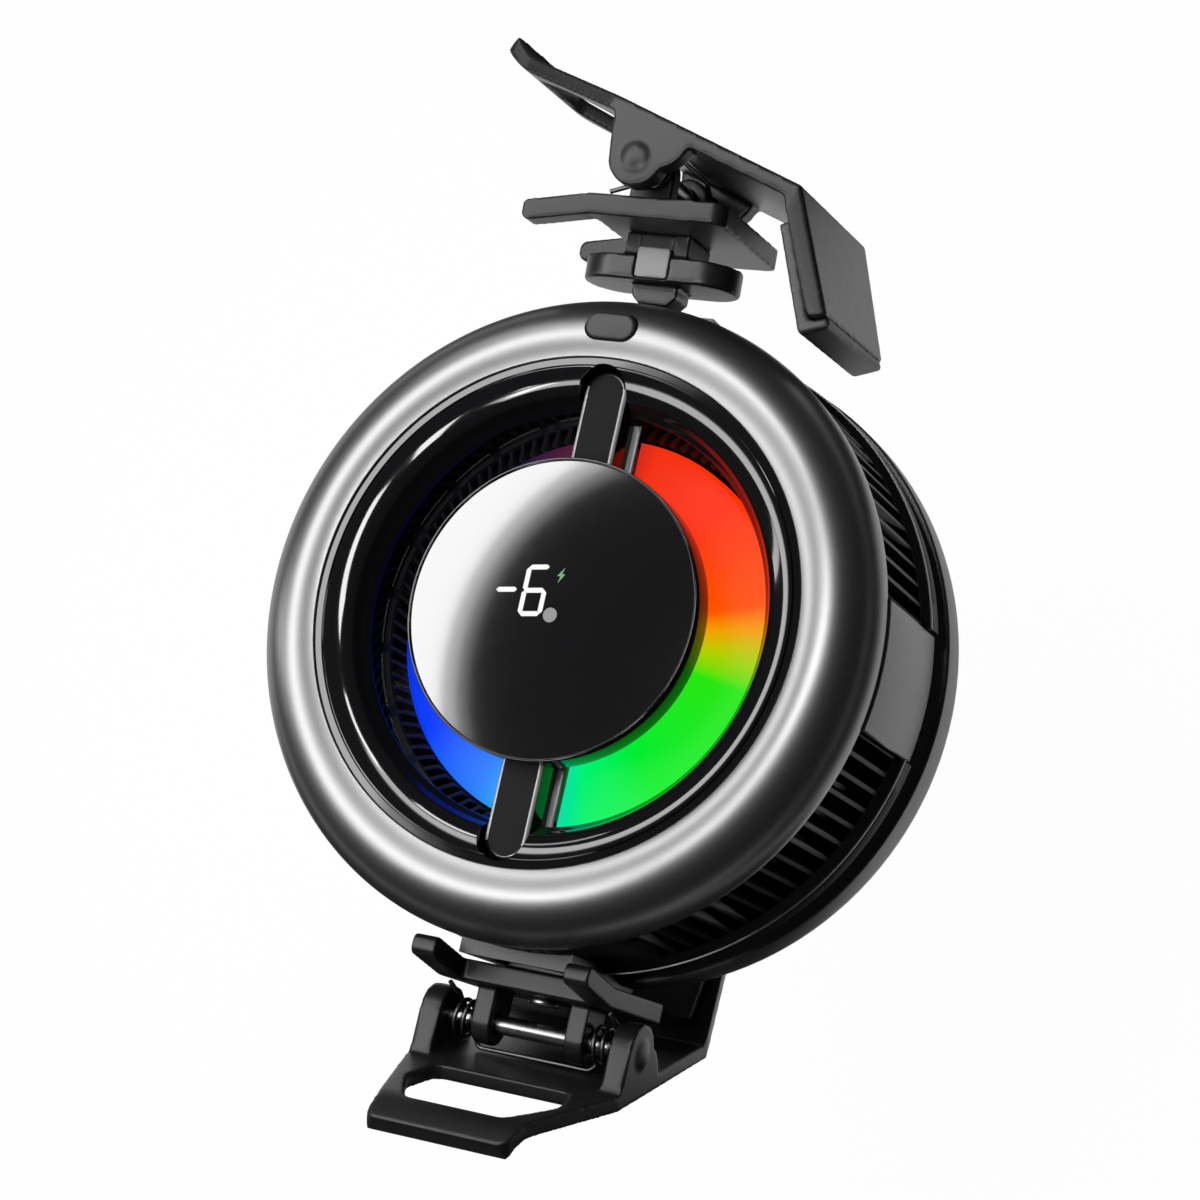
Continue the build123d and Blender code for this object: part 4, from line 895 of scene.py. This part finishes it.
# %% Open the finger loops and soften the clips
LOOP = [(6.6, 7.6), (11.6, 8.4), (17.4, 5.4), (17.4, -5.4), (11.6, -8.4), (6.6, -7.6)]
LOOP_CORNER = 1.0
TAPER = [(4.8, 12.1), (17.8, 8.2), (21.5, 7.6), (21.5, 14.0), (4.8, 14.0)]
OTHER_TAPER = [(along, -across) for along, across in TAPER]
ARM_LOW = 2.0
ARM_THROUGH = 8.0
EAR_OUTER = 12.0
BOSS = (0.35, 1.5, 1.5)
NECK_CUT = (10.0, 2.5, 9.0)
NECK_CUT_PLACES = [(0, 33.3, 3.0), (0, 33.3, 19.0)]
PIN_RADIUS = 1.0
PIN_LENGTH = 20.8
SOFTNESS = {
    "lever": (0.2, 10),
    "clip_base": (0.18, 5),
    "clip_foot": (0.18, 5),
    "jaw_pad": (0.22, 18),
    "clip_catch": (0.12, 3),
}


def arm_cutter(points, place, corner=0.0):
    """Prism that goes through the lever's arm, with its corners rounded if asked."""
    bm = bmesh.new()
    bm.faces.new([bm.verts.new((along, ARM_LOW, across)) for along, across in points])
    if corner:
        rounded(bm, bm.verts[:], corner, "VERTICES", EDGE_STEPS)
    extruded(bm, (0, ARM_THROUGH, 0))
    return to_mesh(bm, "arm_cutter", place @ lever_axes)


def add_bosses(lever, place):
    """Low round bosses on the outer faces of the ears, over the ends of the pin."""
    bm = bmesh.new()
    for x in (EAR_OUTER, -EAR_OUTER):
        ball = bmesh.ops.create_uvsphere(bm, u_segments=32, v_segments=16, radius=1.0)["verts"]
        spot = Matrix.Translation((x, PIN_OUT, PIN_LEVEL)) @ Matrix.Diagonal((*BOSS, 1))
        bmesh.ops.transform(bm, matrix=place @ spot, verts=ball)
    bmesh.ops.scale(bm, vec=(MM, MM, MM), verts=bm.verts)
    bm.from_mesh(lever.data)
    bm.to_mesh(lever.data)
    bm.free()


def add_pin(side, place):
    """Steel pin through the knuckles, with its ends under the bosses."""
    name = side + "_pin_core"
    bm = bmesh.new()
    bmesh.ops.create_cone(
        bm, cap_ends=True, segments=32, radius1=PIN_RADIUS, radius2=PIN_RADIUS, depth=PIN_LENGTH
    )
    along = Matrix.Translation((0, PIN_OUT, PIN_LEVEL)) @ Matrix.Rotation(pi / 2, 4, "Y")
    mesh = to_mesh(bm, name, place @ along)
    dress(mesh, name, "steel", side + "_lever", [side + "_pivot_pin"], finish="pin_steel")


for side, place in CLIP_PLACES.items():
    lever = carried[side + "_lever"]
    foot = carried[side + "_clip_foot"]
    cut(lever, arm_cutter(LOOP, place, LOOP_CORNER))
    cut(lever, arm_cutter(TAPER, place), arm_cutter(OTHER_TAPER, place))
    add_bosses(lever, place)
    for centre in NECK_CUT_PLACES:
        cut(foot, to_mesh(cuboid(NECK_CUT, centre), "neck_cutter", place))
    for node, (grid, rounds) in SOFTNESS.items():
        softened(carried[f"{side}_{node}"], grid, rounds)
    add_pin(side, place)
    paint(foot.data, "body_black")
    # The springs get the darker steel, painted shade on their coils.
    paint(carried[side + "_spring"].data, "painted_shade_steel")

# %% [markdown]
# ## The hidden nodes
# Boards, motor and module can't be seen in the photograph, but they are part of the object, so each
# keeps its CAD mesh and gets the material that its slot asks for.

# %% Give the other nodes their materials
record_slots = {}
for entry in frame["record"]["subparts"]:
    record_slots[entry["node"]] = entry["material_slot"]
for name, node in sorted(frame["nodes"].items()):
    if not node.hide_render:
        slot = record_slots.get(name, "body_black")
        paint(node.data, slot)
        print("node", name, "has slot", slot)

# %% [markdown]
# ## The studio
# The floor and the world are white wherever the camera or a reflection meets them, and only dim
# elsewhere, so that no light is added to the object. Black cloth hangs round the set, as it does
# for any black product: the camera doesn't see it, but the gloss does, and stays deep. Three black
# cards lie on the floor for the same reason, because a white floor would turn the outer half of the
# bezel grey.

# %% Set up the studio
FLOOR_LEVEL = -60.0
FLOOR_SIZE = 20000.0
FLOOR_COLOUR = (0.85, 0.85, 0.85, 1)
FLOOR_WHITE = 0.98
CLOTH_RADIUS = 900.0
CLOTH_HEM = -40.0
CLOTH_COLOUR = (0.03, 0.03, 0.03)
CARD_LIFT = 2.0
CARDS = [
    ((-150.0, -270.0), (500.0, 460.0)),
    ((400.0, 50.0), (560.0, 900.0)),
    ((-60.0, 200.0), (360.0, 220.0)),
]
FILL = 0.12


def background_mask(tree):
    """1 for rays that should meet the white background."""
    paths = tree.nodes.new("ShaderNodeLightPath")
    total = paths.outputs["Is Camera Ray"]
    for ray in ("Is Glossy Ray", "Is Transmission Ray"):
        larger = tree.nodes.new("ShaderNodeMath")
        larger.operation = "MAXIMUM"
        tree.links.new(total, larger.inputs[0])
        tree.links.new(paths.outputs[ray], larger.inputs[1])
        total = larger.outputs[0]
    return total


def bare_tree(owner, output):
    """Emptied node tree of a material or a world, and its new output node."""
    owner.use_nodes = True
    tree = owner.node_tree
    tree.nodes.clear()
    return tree, tree.nodes.new(output)


def glow_only(name, colour, strength):
    """Material that only gives off light."""
    material = bpy.data.materials.new(name)
    tree, output = bare_tree(material, "ShaderNodeOutputMaterial")
    glow = tree.nodes.new("ShaderNodeEmission")
    glow.inputs["Color"].default_value = (*colour, 1)
    glow.inputs["Strength"].default_value = strength
    tree.links.new(glow.outputs[0], output.inputs[0])
    return material


def prop(name, bm, material):
    """Thing of the studio, in one material."""
    thing = bpy.data.objects.new(name, to_mesh(bm, name))
    bpy.context.scene.collection.objects.link(thing)
    thing.data.materials.append(material)
    return thing


def for_reflections(thing):
    """Hides a thing from all but reflections."""
    thing.visible_camera = False
    thing.visible_diffuse = False
    thing.visible_shadow = False
    thing.visible_transmission = False


def sheet(width, length, centre):
    """Flat rectangle round a centre."""
    bm = bmesh.new()
    bmesh.ops.create_grid(bm, x_segments=1, y_segments=1, size=0.5)
    spot = Matrix.Translation(centre) @ Matrix.Diagonal((width, length, 1, 1))
    bmesh.ops.transform(bm, matrix=spot, verts=bm.verts)
    return bm


def lay_floor():
    """Large pale floor that is white to the camera and keeps the object's shadow."""
    material = bpy.data.materials.new("floor_white")
    tree, output = bare_tree(material, "ShaderNodeOutputMaterial")
    mix = tree.nodes.new("ShaderNodeMixShader")
    matt = tree.nodes.new("ShaderNodeBsdfDiffuse")
    matt.inputs["Color"].default_value = FLOOR_COLOUR
    glow = tree.nodes.new("ShaderNodeEmission")
    share = tree.nodes.new("ShaderNodeMath")
    share.operation = "MULTIPLY"
    share.inputs[1].default_value = FLOOR_WHITE
    tree.links.new(background_mask(tree), share.inputs[0])
    tree.links.new(share.outputs[0], mix.inputs[0])
    tree.links.new(matt.outputs[0], mix.inputs[1])
    tree.links.new(glow.outputs[0], mix.inputs[2])
    tree.links.new(mix.outputs[0], output.inputs[0])
    floor = prop("floor", sheet(FLOOR_SIZE, FLOOR_SIZE, (0, 0, FLOOR_LEVEL)), material)


def hang_cloth(black):
    """Black dome round the set, seen by reflections only."""
    bm = bmesh.new()
    bmesh.ops.create_uvsphere(bm, u_segments=48, v_segments=24, radius=CLOTH_RADIUS)
    bmesh.ops.bisect_plane(
        bm,
        geom=bm.verts[:] + bm.edges[:] + bm.faces[:],
        plane_co=(0, 0, CLOTH_HEM),
        plane_no=(0, 0, 1),
        clear_inner=True,
    )
    cloth = prop("black_cloth", bm, black)
    for_reflections(cloth)


def lay_card(name, centre, size, black):
    """Black card on the floor beside the set, seen by reflections only."""
    card = prop(name, sheet(*size, (*centre, FLOOR_LEVEL + CARD_LIFT)), black)
    for_reflections(card)


def light_world():
    """World that fills the shadows and is white behind everything."""
    world = bpy.data.worlds.new("studio")
    bpy.context.scene.world = world
    tree, output = bare_tree(world, "ShaderNodeOutputWorld")
    mix = tree.nodes.new("ShaderNodeMixShader")
    fill = tree.nodes.new("ShaderNodeBackground")
    fill.inputs["Strength"].default_value = FILL
    white = tree.nodes.new("ShaderNodeBackground")
    tree.links.new(background_mask(tree), mix.inputs[0])
    tree.links.new(fill.outputs[0], mix.inputs[1])
    tree.links.new(white.outputs[0], mix.inputs[2])
    tree.links.new(mix.outputs[0], output.inputs[0])


lay_floor()
cloth_black = glow_only("black_cloth", CLOTH_COLOUR, 1.0)
hang_cloth(cloth_black)
for number, (centre, size) in enumerate(CARDS):
    lay_card(f"black_card_{number}", centre, size, cloth_black)
light_world()
print("the studio has a floor, a cloth and", len(CARDS), "black cards")

# %% [markdown]
# ## The lamps
# The main lamp is a large flat softbox that hangs over the cooler. It has a round hole, whose rim
# fades in two steps, and it ends in a straight line a little left of the middle, so that only the
# left part of the window shows it. Its head and its foot are trimmed straight too. The bezel shows
# it as a wide band. A few small strip lamps hang at the same height, and the polished lip bends
# each of them into a thin bow.

# %% Hang the lamps
LAMP_LEVEL = 130.0
TARGET = Vector((0.0, 0.0, 25.0))
SOFTBOX_CENTRE = (-20.0, 10.0)
SOFTBOX_STEPS = 96
WHITE = (1.0, 1.0, 1.0)
# Inner radius, outer radius and radiance of each zone of the softbox
ZONES = [(44.0, 47.0, 1.2), (47.0, 51.0, 4.0), (51.0, 100.0, 9.5)]
# A point and the outward direction of each straight cut
STRAIGHT_CUTS = [
    ((-12.0, 0, 0), (1, 0, 0)),
    ((0, -62.0, 0), (0, -1, 0)),
    ((0, 90.0, 0), (0, 1, 0)),
]
# X, Y, width, length, turn in degrees and radiance of each strip lamp
STRIPS = [
    (12.0, 15.0, 18.0, 44.0, 0.0, 22.0),
    (0.0, -22.0, 12.0, 24.0, 60.0, 22.0),
    (-26.0, -42.0, 12.0, 24.0, 75.0, 22.0),
    (-2.0, 66.0, 12.0, 30.0, 40.0, 22.0),
    (-50.0, 111.0, 14.0, 34.0, 70.0, 16.0),
    (-129.0, 147.0, 16.0, 60.0, 60.0, 6.0),
    (-231.0, 6.0, 16.0, 120.0, 0.0, 8.0),
]


def softbox_zone(name, inner, outer, radiance):
    """Part of the softbox between two radii, cut off straight on three sides."""
    bm = bmesh.new()
    for radius in (inner, outer):
        bmesh.ops.create_circle(bm, cap_ends=False, segments=SOFTBOX_STEPS, radius=radius)
    bmesh.ops.bridge_loops(bm, edges=bm.edges[:])
    bmesh.ops.translate(bm, vec=(*SOFTBOX_CENTRE, LAMP_LEVEL), verts=bm.verts)
    for spot, way in STRAIGHT_CUTS:
        everything = bm.verts[:] + bm.edges[:] + bm.faces[:]
        bmesh.ops.bisect_plane(bm, geom=everything, plane_co=spot, plane_no=way, clear_outer=True)
    lamp = prop(name, bm, glow_only(name, WHITE, radiance))
    lamp.visible_camera = False
    lamp.visible_shadow = False


def strip_lamp(name, place, width, length, turn, radiance):
    """Rectangular lamp at a place in millimetres that looks at the target."""
    lamp = bpy.data.lights.new(name, "AREA")
    lamp.shape = "RECTANGLE"
    lamp.size = width * MM
    lamp.size_y = length * MM
    lamp.energy = radiance * pi * width * length * MM * MM
    holder = bpy.data.objects.new(name, lamp)
    bpy.context.scene.collection.objects.link(holder)
    facing = (place - TARGET).to_track_quat("Z", "Y").to_matrix().to_4x4()
    turned = facing @ Matrix.Rotation(radians(turn), 4, "Z")
    holder.matrix_world = Matrix.Translation(place * MM) @ turned


for number, (inner, outer, radiance) in enumerate(ZONES):
    softbox_zone(f"ring_lamp_{number}", inner, outer, radiance)
for number, (x, y, width, length, turn, radiance) in enumerate(STRIPS):
    strip_lamp(f"strip_{number}", Vector((x, y, LAMP_LEVEL)), width, length, turn, radiance)
print("hung a softbox in", len(ZONES), "zones and", len(STRIPS), "strip lamps")

# %% [markdown]
# ## The camera
# It looks from the front, a little from the right and from below, at the angle of the photograph.

# %% Place the camera
CAMERA_PLACE = Vector((126.3, -50.4, 293.1))
RIGHTWARD = Vector((0.898, 0.216, -0.384))
BACKWARD = Vector((0.421, -0.168, 0.891))
back = BACKWARD.normalized()
up = back.cross(RIGHTWARD).normalized()
right = up.cross(back)
eye = bpy.data.cameras.new("camera")
eye.lens = 90.0
eye.sensor_width = 36.0
eye.shift_x = 0.0275
eye.shift_y = 0.0158
eye.clip_start = 0.01
eye.clip_end = 100.0
camera = bpy.data.objects.new("camera", eye)
bpy.context.scene.collection.objects.link(camera)
facing = Matrix((right, up, back)).transposed().to_4x4()
camera.matrix_world = Matrix.Translation(CAMERA_PLACE * MM) @ facing
bpy.context.scene.camera = camera
bpy.context.scene.view_settings.view_transform = "Standard"
print("the camera stands", round(CAMERA_PLACE.length), "mm from the cold plate")
